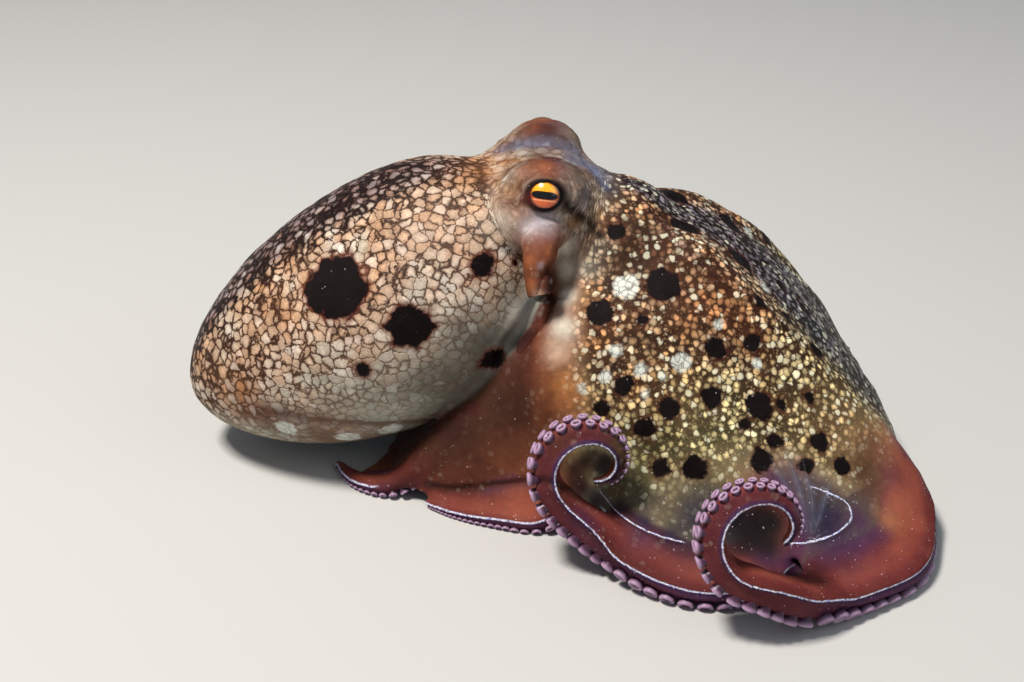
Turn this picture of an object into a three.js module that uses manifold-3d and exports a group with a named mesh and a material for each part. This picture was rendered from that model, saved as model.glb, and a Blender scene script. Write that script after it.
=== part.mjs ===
// A common octopus at rest on the sea floor, as a life-size still model.
// Millimetres, +Z up. The mantle sags towards -X, the arms and webs spread towards +X, and the
// animal's right side faces -Y. The origin is on the floor, under the middle of the whole body.
import * as THREE from "three";
import { mergeVertices } from "three/addons/utils/BufferGeometryUtils.js";
import Module from "manifold-3d";

const wasm = await Module();
wasm.setup();

// ---- driving dimensions -------------------------------------------------
// Places are laid out round the head first and moved by layoutShift at the end.
const layoutShift = [-12.8, -0.85, 0];
const joinGap = 0.3; // between pieces that meet
const midY = 12; // the head's plane of symmetry

const mantle = {
  neck: [9, 11.5, 86], // where its axis starts, inside the head
  tip: [-111.5, 5, 20],
  girth: 43.5, // largest radius
  widestAt: 0.42, // share of the axis from the neck
  bluntness: 0.37, // how fast it swells behind the neck
  taper: 0.6, // how it closes at the tip
  sag: 3, // how far the middle hangs below the axis
  rings: 14,
  sides: 22,
  colour: 0xb08f78,
};

const head = {
  centre: [10, midY, 89],
  radii: [28, 23, 20.5],
  moundRadii: [15.5, 12.5, 12],
  eyeSpread: 17, // from the mid plane to the middle of an eye mound
  eyeX: 10,
  eyeHeight: 103.5,
  colour: 0x9c7c74,
};

const eye = { radius: 7, set: 12.8, forward: 0.6, rise: 1.6, colour: 0xd9861f };

const crown = { centre: [33, midY, 73], radii: [27, 30, 27], colour: 0x9a8460 };

const funnel = {
  line: [[13, -9, 94], [7.5, -20, 91], [7, -27, 75]],
  rootRadius: 8,
  tipRadius: 4.6,
  boreRadius: 2.8,
  boreDepth: 8,
  colour: 0xb87b56,
};

const armSize = {
  halfWidth: 10.5, // at the root
  depth: 14, // oral face to crest, at the root
  tipShare: 0.16, // of the root's size, left at the tip
  slimming: 2.2, // higher keeps the arm thick for longer
  crestShare: 0.42, // of the depth that stands above the keels
  step: 11, // between sections
  curlStep: 7.5, // the same in a curl
  curlKeel: 0.22, // how far the keels rise towards the crest in a curl, as a share of the depth
  upright: 0.85, // how far the crest turns to straight up where the arm lies on the floor
};
const armCore = [45, 8, -80]; // an arm turns its oral face towards this point
const web = { thickness: 2.4, lift: 0.12, rows: 6, columns: 3, colour: 0x7c7a48 };
const sucker = { share: 0.34, height: 2.2, sides: 5, spread: 0.38, every: 6.8 };
const armColours = { base: 0xa5744a, mid: 0x8a4038, curl: 0x7d3a42 };

// Each arm is a line of points from the crown to the floor and along it. The arm carries web
// up to one point of that line on the side of the neighbour before it in `webs`, and up to
// another on the other side. A curl ends it: from, turns and lean give its start angle, length and tilt.
// An arm may have a slimming of its own.
const arms = {
  r1: {
    girth: 0.94,
    slimming: 4.5,
    line: [[30, 6, 80], [54, -8, 85], [82, -20, 64], [107, -29, 38], [127.5, -40.5, 17],
      [128, -56, 7.5], [121.5, -72, 6.8], [108, -81.5, 6.8], [97, -88, 8], [86, -94.5, 12]],
    webTo: [8.6, 4.4],
    lengths: [4, 9],
    curl: { centre: [73, -95, 37], radius: 18.5, last: 7.5, from: -88, turns: 0.87, lean: 10 },
    showsSuckers: true,
  },
  r2: {
    girth: 0.77,
    slimming: 7,
    line: [[28, 4, 74], [38, -22, 73], [50, -41, 51], [65, -53, 31], [77, -60, 18],
      [82, -68, 10], [79, -75.5, 6.8], [69, -80.5, 6], [56, -80.5, 6], [42.5, -74.5, 7.5],
      [31, -68, 12.5]],
    webTo: [9, 4.6],
    lengths: [4, 10],
    curl: { centre: [25, -62, 37], radius: 16, last: 6, from: -125, turns: 0.9, lean: 8 },
    showsSuckers: true,
  },
  r3: {
    girth: 0.86,
    line: [[26, 4, 70], [18, -19, 70], [13, -33, 52], [14, -40, 30], [17, -44, 13],
      [9, -45.5, 4.4], [-4, -43.5, 3.3], [-18, -39.5, 2.2], [-29, -34, 1.7]],
    webTo: [6.5, 4.4],
    lengths: [4, 8],
  },
  r4: {
    girth: 0.84,
    line: [[20, 6, 66], [3, -10, 57], [-12, -20, 36], [-27, -26, 19], [-41, -27, 5],
      [-53, -22, 2.6], [-62, -10, 1.4]],
    webTo: [5, 4.4],
    lengths: [4, 6],
  },
  l4: {
    girth: 0.84,
    line: [[20, 18, 66], [3, 34, 57], [-12, 44, 36], [-27, 50, 19], [-41, 52, 5],
      [-53, 47, 2.6], [-62, 36, 1.4]],
    webTo: [4.4, 5],
    lengths: [4, 6],
  },
  l3: {
    girth: 0.86,
    line: [[26, 20, 70], [20, 43, 70], [17, 60, 52], [17, 73, 30], [18, 83, 13],
      [10, 88.5, 4.4], [-5, 89.5, 3.3], [-20, 85, 2.2], [-32, 78, 1.6]],
    webTo: [4.4, 6.5],
    lengths: [4, 8],
  },
  l2: {
    girth: 0.88,
    line: [[28, 20, 74], [40, 46, 73], [56, 62, 52], [72, 76, 30], [84, 87, 13],
      [82, 96, 4.8], [69, 101.5, 4.1], [51, 101, 3], [38, 96, 2.2], [29, 88, 1.6]],
    webTo: [4.4, 7],
    lengths: [4, 9],
  },
  l1: {
    girth: 1,
    line: [[30, 18, 80], [54, 31, 82.5], [80, 41, 68], [104, 44, 43], [121, 47, 18],
      [124.5, 58.5, 6.5], [120, 73.5, 4.5], [108, 83, 4.3], [98, 81, 6]],
    webTo: [4.4, 6.4],
    lengths: [4, 8],
    curl: { centre: [90, 72, 18], radius: 11, last: 4.5, from: -70, turns: 0.8, lean: -55 },
  },
};
// Neighbours that share a web, how far its middle swells outwards, how deep its edge is cut and
// how far the edge flares.
const webs = [["r4", "r3", 4, 0, 0], ["r3", "r2", 5, 0, 0], ["r2", "r1", 5, 0, 0], ["r1", "l1", 4, 0, 4.5],
  ["l1", "l2", 5, 0.06, 0], ["l2", "l3", 5, 0.08, 0], ["l3", "l4", 4, 0.08, 0], ["l4", "r4", -12, 0.08, 0]];

// ---- helpers --------------------------------------------------------------
const { lerp, smoothstep, degToRad } = THREE.MathUtils;
const vec = (p) => new THREE.Vector3(...p);
const lineOf = (points) => new THREE.CatmullRomCurve3(points.map(vec), false, "centripetal");

// A closed skin through rings of points, with a fan at each end.
function lofted(rings) {
  const sides = rings[0].length;
  const points = rings.flat();
  const faces = [];
  for (let k = 0; k + 1 < rings.length; k++)
    for (let i = 0; i < sides; i++) {
      const next = (i + 1) % sides;
      const [a, b, c, d] = [k * sides + i, k * sides + next, (k + 1) * sides + i, (k + 1) * sides + next];
      faces.push(a, b, d, a, d, c);
    }
  for (const k of [0, rings.length - 1]) {
    const middle = new THREE.Vector3();
    rings[k].forEach((p) => middle.addScaledVector(p, 1 / sides));
    const m = points.push(middle) - 1;
    for (let i = 0; i < sides; i++) {
      const [a, b] = [k * sides + i, k * sides + ((i + 1) % sides)];
      faces.push(...(k === 0 ? [m, b, a] : [m, a, b]));
    }
  }
  return new THREE.BufferGeometry().setFromPoints(points).setIndex(faces);
}

// A geometry as a solid for cutting and joining, turned right side out.
function solid(geometry) {
  const bare = geometry.clone();
  for (const name of Object.keys(bare.attributes)) if (name !== "position") bare.deleteAttribute(name);
  const merged = mergeVertices(bare, 1e-4);
  const vertProperties = new Float32Array(merged.attributes.position.array);
  const triVerts = new Uint32Array(merged.index.array);
  const made = new wasm.Manifold(new wasm.Mesh({ numProp: 3, vertProperties, triVerts }));
  if (made.volume() > 0) return made;
  return new wasm.Manifold(new wasm.Mesh({ numProp: 3, vertProperties, triVerts: triVerts.reverse() }));
}

function ellipsoid(centre, radii, grow, around, over) {
  const ball = new THREE.SphereGeometry(1, around, over).rotateX(Math.PI / 2);
  ball.scale(radii[0] + grow, radii[1] + grow, radii[2] + grow).translate(...centre);
  return solid(ball);
}

// The ring of points at a place along a line, across its direction.
function circle(centre, across, over, radius, sides) {
  return Array.from({ length: sides }, (_, i) => {
    const a = (2 * Math.PI * i) / sides;
    return centre.clone().addScaledVector(across, radius * Math.cos(a)).addScaledVector(over, radius * Math.sin(a));
  });
}

const largest = (body) => body.decompose().sort((a, b) => b.volume() - a.volume())[0];

// ---- mantle, head, eyes and funnel ------------------------------------------
function mantleSolid(grow) {
  const { neck, tip, girth, widestAt, bluntness, taper, sag, rings, sides } = mantle;
  const axis = vec(tip).sub(vec(neck));
  const across = new THREE.Vector3(axis.y, -axis.x, 0).normalize();
  const over = new THREE.Vector3().crossVectors(axis, across).normalize();
  const made = [];
  for (let k = 0; k <= rings; k++) {
    const t = lerp(0.003, 0.997, (1 - Math.cos((Math.PI * k) / rings)) / 2);
    const radius = girth * (t / widestAt) ** bluntness * ((1 - t) / (1 - widestAt)) ** taper;
    const centre = vec(neck).addScaledVector(axis, t);
    centre.z -= sag * Math.sin(Math.PI * t);
    made.push(circle(centre, across, over, radius + grow, sides));
  }
  return solid(lofted(made));
}

function headSolid(grow) {
  let made = ellipsoid(head.centre, head.radii, grow, 16, 8);
  for (const side of [-1, 1]) {
    const centre = [head.eyeX, midY + side * head.eyeSpread, head.eyeHeight];
    made = made.add(ellipsoid(centre, head.moundRadii, grow, 12, 7));
  }
  return made;
}

// The ball stands a little out of its mound, and the skin closes round it.
function eyeSolid(side, grow) {
  const reach = head.eyeSpread + head.moundRadii[1] - eye.radius + 0.9;
  const centre = [head.eyeX + eye.forward, midY + side * reach, head.eyeHeight + eye.rise];
  return ellipsoid(centre, [eye.radius, eye.radius, eye.radius], grow, 10, 7);
}

function funnelSolid(grow) {
  const line = lineOf(funnel.line);
  const steps = 5;
  const rings = Array.from({ length: steps + 1 }, (_, k) => {
    const t = k / steps;
    const along = line.getTangentAt(t);
    const across = new THREE.Vector3(1, 0, 0).addScaledVector(along, -along.x).normalize();
    const over = new THREE.Vector3().crossVectors(along, across);
    return circle(line.getPointAt(t), across, over, lerp(funnel.rootRadius, funnel.tipRadius, t) + grow, 10);
  });
  const outer = solid(lofted(rings));
  if (grow > 0) return outer;
  const [tip, along] = [line.getPointAt(1), line.getTangentAt(1)];
  const across = new THREE.Vector3(1, 0, 0).addScaledVector(along, -along.x).normalize();
  const over = new THREE.Vector3().crossVectors(along, across);
  const bore = [-funnel.boreDepth, 2].map((d) =>
    circle(tip.clone().addScaledVector(along, d), across, over, funnel.boreRadius, 10));
  return outer.subtract(solid(lofted(bore)));
}

// ---- arms -------------------------------------------------------------------
function curlPoints({ centre, radius, last, from, turns, lean }) {
  const steps = Math.round(turns * 12);
  const rise = new THREE.Vector3(0, Math.sin(degToRad(lean)), Math.cos(degToRad(lean)));
  return Array.from({ length: steps + 1 }, (_, k) => {
    const angle = degToRad(from - (360 * turns * k) / steps);
    const r = radius * (last / radius) ** (k / steps);
    return vec(centre).addScaledVector(rise, r * Math.sin(angle)).add(new THREE.Vector3(r * Math.cos(angle), 0, 0)).toArray();
  });
}

// An arm's whole line, and its section at any share t of it: place, facing and size.
function armShape(arm) {
  const curled = arm.curl ? curlPoints(arm.curl) : [];
  const whole = lineOf([...arm.line, ...curled]);
  whole.arcLengthDivisions = 1200;
  const total = whole.getLength();
  const shareAt = (index) => {
    const low = Math.floor(index);
    const parts = arm.line.slice(0, low + 1);
    if (index > low) parts.push(vec(arm.line[low]).lerp(vec(arm.line[low + 1]), index - low).toArray());
    return lineOf(parts).getLength() / total;
  };
  const curlFrom = arm.curl ? shareAt(arm.line.length - 1) : 2;
  const sectionAt = (t) => {
    const place = whole.getPointAt(t);
    const ahead = whole.getPointAt(Math.min(t + 0.008, 1)).sub(whole.getPointAt(Math.max(t - 0.008, 0))).normalize();
    const crest = place.clone().sub(vec(armCore)).normalize();
    crest.lerp(new THREE.Vector3(0, 0, 1), armSize.upright * (1 - smoothstep(place.z, 8, 22))).normalize();
    if (arm.curl) {
      const inward = vec(arm.curl.centre).sub(place).normalize();
      crest.lerp(inward, smoothstep(t, curlFrom - 0.12, curlFrom + 0.05));
    }
    crest.addScaledVector(ahead, -crest.dot(ahead)).normalize();
    const side = new THREE.Vector3().crossVectors(ahead, crest);
    const size = arm.girth * lerp(1, armSize.tipShare, t ** (arm.slimming ?? armSize.slimming));
    const lift = armSize.curlKeel * smoothstep(t, curlFrom - 0.1, curlFrom + 0.03);
    return { place, crest, side, halfWidth: armSize.halfWidth * size, depth: armSize.depth * size, lift };
  };
  return { sectionAt, whole, shareAt, total };
}

// A low arch over the two keels, flanks that slope in and a flat oral face below.
function armRing({ place, crest, side, halfWidth, depth, lift }, grow) {
  const { crestShare } = armSize;
  const arch = (a) => lift + (crestShare - lift) * Math.sin(degToRad(a));
  const top = [0, 45, 90, 135, 180].map((a) => [Math.cos(degToRad(a)), arch(a)]);
  const low = [-0.64, 0.64].map((x) => [x, crestShare - 1]);
  return [...top, ...low].map(([x, y]) => {
    const reach = 1 + grow / Math.hypot(x * halfWidth, y * depth);
    return place.clone().addScaledVector(side, x * halfWidth * reach).addScaledVector(crest, y * depth * reach);
  });
}

const shapes = Object.fromEntries(Object.entries(arms).map(([name, arm]) => [name, armShape(arm)]));

function armSolid(name, from, to, grow, step = armSize.step) {
  const { sectionAt, total } = shapes[name];
  const count = Math.ceil(((to - from) * total) / step);
  const rings = Array.from({ length: count + 1 }, (_, k) => armRing(sectionAt(lerp(from, to, k / count)), grow));
  return solid(lofted(rings));
}

// Two rows of suckers on the oral face, as short six-sided cups.
function suckers(name, from, to, grow) {
  const { sectionAt, total } = shapes[name];
  let made = null;
  for (let reach = from * total; reach < to * total; reach += sucker.every) {
    const { place, crest, side, halfWidth, depth } = sectionAt(reach / total);
    const radius = halfWidth * sucker.share;
    for (const row of [-1, 1]) {
      const cup = new THREE.CylinderGeometry(radius + grow, radius * 0.8 + grow, sucker.height + 2 * grow, sucker.sides);
      cup.applyQuaternion(new THREE.Quaternion().setFromUnitVectors(new THREE.Vector3(0, -1, 0), crest));
      const seat = place.clone().addScaledVector(side, row * halfWidth * sucker.spread);
      seat.addScaledVector(crest, -depth * (1 - armSize.crestShare) - sucker.height * 0.3);
      const body = solid(cup.translate(...seat));
      made = made ? made.add(body) : body;
    }
  }
  return made;
}

// ---- webs -------------------------------------------------------------------
function webSolid(one, two, billow, scoop, flare) {
  const ends = [[one, arms[one].webTo[1]], [two, arms[two].webTo[0]]].map(([name, index]) => {
    const { sectionAt, shareAt } = shapes[name];
    return (u) => {
      const { place, crest, depth } = sectionAt(shareAt(index) * u);
      return place.addScaledVector(crest, web.lift * depth);
    };
  });
  const place = (u, v) => {
    const p = ends[0](u).lerp(ends[1](u), v);
    const out = p.clone().sub(vec(armCore)).normalize();
    p.addScaledVector(out, (billow * Math.sin(Math.PI * u) + flare * u ** 3) * Math.sin(Math.PI * v));
    p.z = Math.max(p.z, web.thickness / 2 + 0.3);
    return p;
  };
  const [upper, lower] = [[], []];
  for (let k = 0; k <= web.rows; k++)
    for (let i = 0; i <= web.columns; i++) {
      const v = lerp(0.02, 0.98, i / web.columns);
      const u = lerp(0.12, 1 - scoop * Math.sin(Math.PI * v), k / web.rows);
      const [p, step] = [place(u, v), 0.02];
      const along = place(Math.min(u + step, 1), v).sub(place(u - step, v));
      const across = place(u, Math.min(v + step, 1)).sub(place(u, Math.max(v - step, 0)));
      const normal = along.cross(across).normalize();
      if (normal.dot(p.clone().sub(vec(armCore))) < 0) normal.negate();
      upper.push(p.clone().addScaledVector(normal, web.thickness / 2));
      lower.push(p.clone().addScaledVector(normal, -web.thickness / 2));
    }
  const wide = web.columns + 1;
  const faces = [];
  const quad = (a, b, c, d) => faces.push(a, b, c, a, c, d);
  const below = upper.length;
  for (let k = 0; k < web.rows; k++)
    for (let i = 0; i < web.columns; i++) {
      const [a, b, c, d] = [k * wide + i, k * wide + i + 1, (k + 1) * wide + i + 1, (k + 1) * wide + i];
      quad(a, b, c, d);
      quad(below + d, below + c, below + b, below + a);
    }
  for (let i = 0; i < web.columns; i++) {
    const end = web.rows * wide + i;
    quad(i + 1, i, below + i, below + i + 1);
    quad(end, end + 1, below + end + 1, below + end);
  }
  for (let k = 0; k < web.rows; k++) {
    const [left, right] = [k * wide, k * wide + web.columns];
    quad(left, left + wide, below + left + wide, below + left);
    quad(right + wide, right, below + right, below + right + wide);
  }
  return solid(new THREE.BufferGeometry().setFromPoints([...upper, ...lower]).setIndex(faces));
}

// ---- assembly ---------------------------------------------------------------
const octopus = new THREE.Group();
const made = []; // what later pieces are cut by

// Each piece gives way to those before it and is trimmed flat on the floor.
const underFloor = solid(new THREE.BoxGeometry(600, 600, 100).translate(0, 0, -50));
function piece(name, colour, roughness, body, cutter) {
  let left = body.subtract(underFloor);
  for (const earlier of made) left = left.subtract(earlier);
  left = largest(left);
  made.push(cutter);
  const { numProp, vertProperties, triVerts } = left.getMesh();
  const places = new Float32Array((vertProperties.length / numProp) * 3);
  for (let i = 0; i * numProp < vertProperties.length; i++)
    places.set(vertProperties.subarray(i * numProp, i * numProp + 3), i * 3);
  const shape = new THREE.BufferGeometry();
  shape.setAttribute("position", new THREE.BufferAttribute(places, 3));
  shape.setIndex(new THREE.BufferAttribute(triVerts, 1));
  const mesh = new THREE.Mesh(shape, new THREE.MeshStandardMaterial({ color: colour, roughness, metalness: 0 }));
  mesh.name = name;
  mesh.position.set(...layoutShift);
  octopus.add(mesh);
}

for (const [name, side] of [["eye_right", -1], ["eye_left", 1]])
  piece(name, eye.colour, 0.15, eyeSolid(side, 0), eyeSolid(side, joinGap));
piece("mantle", mantle.colour, 0.4, mantleSolid(0), mantleSolid(joinGap));
piece("head", head.colour, 0.4, headSolid(0), headSolid(joinGap));
piece("funnel", funnel.colour, 0.4, funnelSolid(0), funnelSolid(joinGap));
const crownSolid = (grow) => ellipsoid(crown.centre, crown.radii, grow, 16, 8);
piece("arm_crown", crown.colour, 0.4, crownSolid(0), crownSolid(joinGap));

for (const [name, arm] of Object.entries(arms)) {
  const { shareAt } = shapes[name];
  const [webEnd, end] = arm.lengths.map(shareAt);
  const parts = [["base", 0, webEnd], ["mid", webEnd, end]];
  if (arm.curl) parts.push(["curl", end, 1]);
  for (const [part, from, to] of parts) {
    const step = part === "curl" ? armSize.curlStep : armSize.step;
    let [body, cutter] = [0, joinGap].map((grow) => armSolid(name, from, to, grow, step));
    if (part === "curl" && arm.showsSuckers)
      [body, cutter] = [body, cutter].map((whole, k) => whole.add(suckers(name, from + 0.01, lerp(from, to, 0.72), k * joinGap)));
    piece(`arm_${name}_${part}`, armColours[part], 0.4, body, cutter);
  }
}

for (const [one, two, ...shape] of webs) {
  const body = webSolid(one, two, ...shape);
  piece(`web_${one}_${two}`, web.colour, 0.4, body, body);
}

export default octopus;
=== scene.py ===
import math
import bmesh
import bpy
import numpy as np
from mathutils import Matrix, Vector
from mathutils.bvhtree import BVHTree


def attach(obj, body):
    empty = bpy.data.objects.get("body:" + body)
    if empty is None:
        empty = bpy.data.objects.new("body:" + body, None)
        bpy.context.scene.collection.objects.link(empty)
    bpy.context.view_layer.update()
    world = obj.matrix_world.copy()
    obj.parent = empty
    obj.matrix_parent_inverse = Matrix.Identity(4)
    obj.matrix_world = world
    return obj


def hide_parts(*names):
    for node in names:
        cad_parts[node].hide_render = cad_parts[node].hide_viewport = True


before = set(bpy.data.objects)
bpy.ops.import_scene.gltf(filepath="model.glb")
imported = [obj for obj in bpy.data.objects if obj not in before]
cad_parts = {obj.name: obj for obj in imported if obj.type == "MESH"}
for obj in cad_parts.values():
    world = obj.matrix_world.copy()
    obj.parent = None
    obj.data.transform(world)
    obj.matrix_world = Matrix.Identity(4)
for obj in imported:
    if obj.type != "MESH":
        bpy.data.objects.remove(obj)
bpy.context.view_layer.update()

# An octopus at rest: one skin over all its flesh, with eyes and suckers set into it.
# Shapes are worked out in millimetres, in the frame's own axes, and made in metres.
mm = 0.001
layoutShift = np.array([-12.8, -0.85, 0.0])  # moves the places below to the frame's origin
midY = 12.0  # the head's plane of symmetry, before the shift
lowest = 0.15  # nothing of the skin comes nearer to the floor
armCore = np.array([45.0, 8.0, -80.0])  # arms turn their suckers towards this point
rng = np.random.default_rng(11)


# small maths

def vec(*p):
    return np.array(p, dtype=float)


def unit(v):
    return v / (np.linalg.norm(v, axis=-1, keepdims=True) + 1e-12)


def dot(a, b):
    return (a * b).sum(-1)


def rise(x, low, high):
    s = np.clip((x - low) / (high - low), 0, 1)
    return s * s * (3 - 2 * s)


def mix(a, b, s):
    return a * (1 - s) + b * s


def bell(x, width):
    return np.exp(-(x / width) ** 2)


def farFrom(points, place, stretch=(1, 1, 1)):
    return np.linalg.norm((points - vec(*place)) / vec(*stretch), axis=1)


def paint(r, g, b):  # a screen colour, 0 to 255, as linear light
    c = np.array([r, g, b]) / 255.0
    return np.where(c <= 0.04045, c / 12.92, ((c + 0.055) / 1.055) ** 2.4)


lattice = rng.random((32, 32, 32)) * 2 - 1


def softNoise(p, size, shift=0.0):
    q = p / size + shift
    base = np.floor(q).astype(int)
    f = q - base
    f = f * f * (3 - 2 * f)
    total = 0.0
    for corner in np.ndindex(2, 2, 2):
        x, y, z = ((base + corner) & 31).T
        a, b, c = np.where(corner, f, 1 - f).T
        total = total + lattice[x, y, z] * (a * b * c)
    return total


def line(points, count=0):  # a centripetal curve through points, evenly spaced, and its length
    p = np.array(points, dtype=float)
    p = np.vstack([2 * p[0] - p[1], p, 2 * p[-1] - p[-2]])
    fine = []
    s = np.linspace(0, 1, 40, endpoint=False)[:, None]
    for a, b, c, d in zip(p, p[1:], p[2:], p[3:]):
        ab, bc, cd = (max(np.linalg.norm(v), 1e-6) ** 0.5 for v in (b - a, c - b, d - c))
        m = ((b - a) / ab - (c - a) / (ab + bc) + (c - b) / bc) * bc
        n = ((c - b) / bc - (d - b) / (bc + cd) + (d - c) / cd) * bc
        fine.append(b + m * s + (3 * (c - b) - 2 * m - n) * s ** 2 + (2 * (b - c) + m + n) * s ** 3)
    fine = np.vstack(fine + [p[-2:-1]])
    far = np.concatenate([[0], np.cumsum(np.linalg.norm(np.diff(fine, axis=0), axis=1))])
    if not count:
        return fine, far[-1]
    even = np.linspace(0, far[-1], count)
    return np.stack([np.interp(even, far, fine[:, k]) for k in range(3)], 1), far[-1]


# shells: closed skins as (points, faces)

def lofted(rings):
    n, m, _ = rings.shape
    index = np.arange(n * m).reshape(n, m)
    turn = np.roll(index, -1, 1)
    quads = np.stack([index[:-1], turn[:-1], turn[1:], index[1:]], -1).reshape(-1, 4).tolist()
    points = np.vstack([rings.reshape(-1, 3), rings[0].mean(0), rings[-1].mean(0)])
    first = [[n * m, turn[0, i], index[0, i]] for i in range(m)]
    last = [[n * m + 1, index[-1, i], turn[-1, i]] for i in range(m)]
    return points, quads + first + last


def ellipsoid(centre, radii, around=48, over=30):
    a = np.linspace(0, 2 * np.pi, around, endpoint=False)
    b = np.linspace(-np.pi / 2, np.pi / 2, over + 2)[1:-1]
    rings = np.stack([np.outer(np.cos(b), np.cos(a)), np.outer(np.cos(b), np.sin(a)),
                      np.outer(np.sin(b), np.ones_like(a))], -1)
    return lofted(rings * np.array(radii) + np.array(centre))


def slab(middle, normal, thickness):  # a closed sheet about a grid of points
    n, m, _ = middle.shape
    top = (middle + normal * thickness / 2).reshape(-1, 3)
    low = (middle - normal * thickness / 2).reshape(-1, 3)
    index = np.arange(n * m).reshape(n, m)
    up = np.stack([index[:-1, :-1], index[:-1, 1:], index[1:, 1:], index[1:, :-1]], -1).reshape(-1, 4)
    rim = np.concatenate([index[0, :], index[1:, -1], index[-1, -2::-1], index[-2:0:-1, 0]])
    after = np.roll(rim, -1)
    wall = np.stack([after, rim, rim + n * m, after + n * m], 1)
    return np.vstack([top, low]), np.vstack([up, up[:, ::-1] + n * m, wall]).tolist()


def meshOf(name, points, faces, scale=1.0):
    made = bpy.data.meshes.new(name)
    made.from_pydata((points * scale).tolist(), [], faces)
    made.update()
    return made


def inScene(name, data):
    made = bpy.data.objects.new(name, data)
    bpy.context.scene.collection.objects.link(made)
    return made


def remeshed(shells, voxel):  # the union of closed shells, as even quads
    points, faces, start = [], [], 0
    for p, f in shells:
        points.append(p)
        faces += [[i + start for i in face] for face in f]
        start += len(p)
    body = inScene("draft", meshOf("draft", np.vstack(points), faces))
    step = body.modifiers.new("union", "REMESH")
    step.mode = "VOXEL"
    step.voxel_size = voxel
    done = body.evaluated_get(bpy.context.evaluated_depsgraph_get()).data
    made = np.empty(len(done.vertices) * 3, np.float32)
    done.vertices.foreach_get("co", made)
    quads = np.empty(len(done.loops), np.int32)
    done.loops.foreach_get("vertex_index", quads)
    bpy.data.objects.remove(body)
    return made.reshape(-1, 3).astype(float), quads.reshape(-1, 4)


def neighbours(quads):
    after = np.roll(quads, -1, 1)
    return np.concatenate([quads, after]).ravel(), np.concatenate([after, quads]).ravel()


def relaxed(points, pairs, rounds, weight=1.0):  # evens out creases
    ends, others = pairs
    share = 1.0 / np.maximum(np.bincount(ends, minlength=len(points)), 1)
    weight = np.broadcast_to(weight, len(points))[:, None] * 0.6
    for _ in range(rounds):
        near = np.stack([np.bincount(ends, points[others, k], len(points)) for k in range(3)], 1)
        points = points + (near * share[:, None] - points) * weight
    return points


def normalsOf(points, quads):
    a, b, c, d = (points[quads[:, k]] for k in range(4))
    face = np.cross(c - a, d - b)
    each = np.zeros_like(points)
    for k in range(4):
        for axis in range(3):
            each[:, axis] += np.bincount(quads[:, k], face[:, axis], len(points))
    return unit(each)


# the arms: the same lines as the solids', with curls at the ends

armSize = dict(halfWidth=10.2, depth=13.8, tipShare=0.16, slimming=2.2, crestShare=0.42, curlKeel=0.22,
               upright=0.85)
arms = {
    "r1": dict(
        girth=0.94, slimming=4.5,
        line=[[30, 6, 80], [54, -8, 85], [82, -20, 64], [107, -29, 38], [127.5, -40.5, 17],
              [128, -56, 7.5], [121.5, -72, 6.8], [108, -81.5, 6.8], [97, -88, 8], [86, -94.5, 12]],
        webTo=(8.6, 4.4), keelFrom=(9, 4.5), lengths=(4, 9),
        curl=dict(centre=(73, -95, 37), radius=18.5, last=7.5, start=-88, turns=0.87, lean=10)),
    "r2": dict(
        girth=0.77, slimming=7,
        line=[[28, 4, 74], [38, -22, 73], [50, -41, 51], [65, -53, 31], [77, -60, 18],
              [82, -68, 10], [79, -75.5, 6.8], [69, -80.5, 6], [56, -80.5, 6], [42.5, -74.5, 7.5],
              [31, -68, 12.5]],
        webTo=(9, 4.6), keelFrom=(6.4, 6), lengths=(4, 10),
        curl=dict(centre=(25, -62, 37), radius=16, last=6, start=-125, turns=0.9, lean=8)),
    "r3": dict(
        girth=0.86,
        line=[[26, 4, 70], [18, -19, 70], [13, -33, 52], [14, -40, 30], [17, -44, 13],
              [9, -45.5, 4.4], [-4, -43.5, 3.3], [-18, -39.5, 2.2], [-29, -34, 1.7]],
        webTo=(6.5, 4.4), lengths=(4, 8)),
    "r4": dict(
        girth=0.84,
        line=[[20, 6, 66], [3, -10, 57], [-12, -20, 36], [-27, -26, 19], [-41, -27, 5],
              [-53, -22, 2.6], [-62, -10, 1.4]],
        webTo=(5, 4.4), lengths=(4, 6)),
    "l4": dict(
        girth=0.84,
        line=[[20, 18, 66], [3, 34, 57], [-12, 44, 36], [-27, 50, 19], [-41, 52, 5],
              [-53, 47, 2.6], [-62, 36, 1.4]],
        webTo=(4.4, 5), lengths=(4, 6)),
    "l3": dict(
        girth=0.86,
        line=[[26, 20, 70], [20, 43, 70], [17, 60, 52], [17, 73, 30], [18, 83, 13],
              [10, 88.5, 4.4], [-5, 89.5, 3.3], [-20, 85, 2.2], [-32, 78, 1.6]],
        webTo=(4.4, 6.5), lengths=(4, 8)),
    "l2": dict(
        girth=0.88,
        line=[[28, 20, 74], [40, 46, 73], [56, 62, 52], [72, 76, 30], [84, 87, 13],
              [82, 96, 4.8], [69, 101.5, 4.1], [51, 101, 3], [38, 96, 2.2], [29, 88, 1.6]],
        webTo=(4.4, 7), lengths=(4, 9)),
    "l1": dict(
        girth=1.0,
        line=[[30, 18, 80], [54, 31, 82.5], [80, 41, 68], [104, 44, 43], [121, 47, 18],
              [124.5, 58.5, 6.5], [120, 73.5, 4.5], [108, 83, 4.3], [98, 81, 6]],
        webTo=(4.4, 6.4), lengths=(4, 8),
        curl=dict(centre=(90, 72, 18), radius=11, last=4.5, start=-70, turns=0.8, lean=-55)),
}
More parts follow.
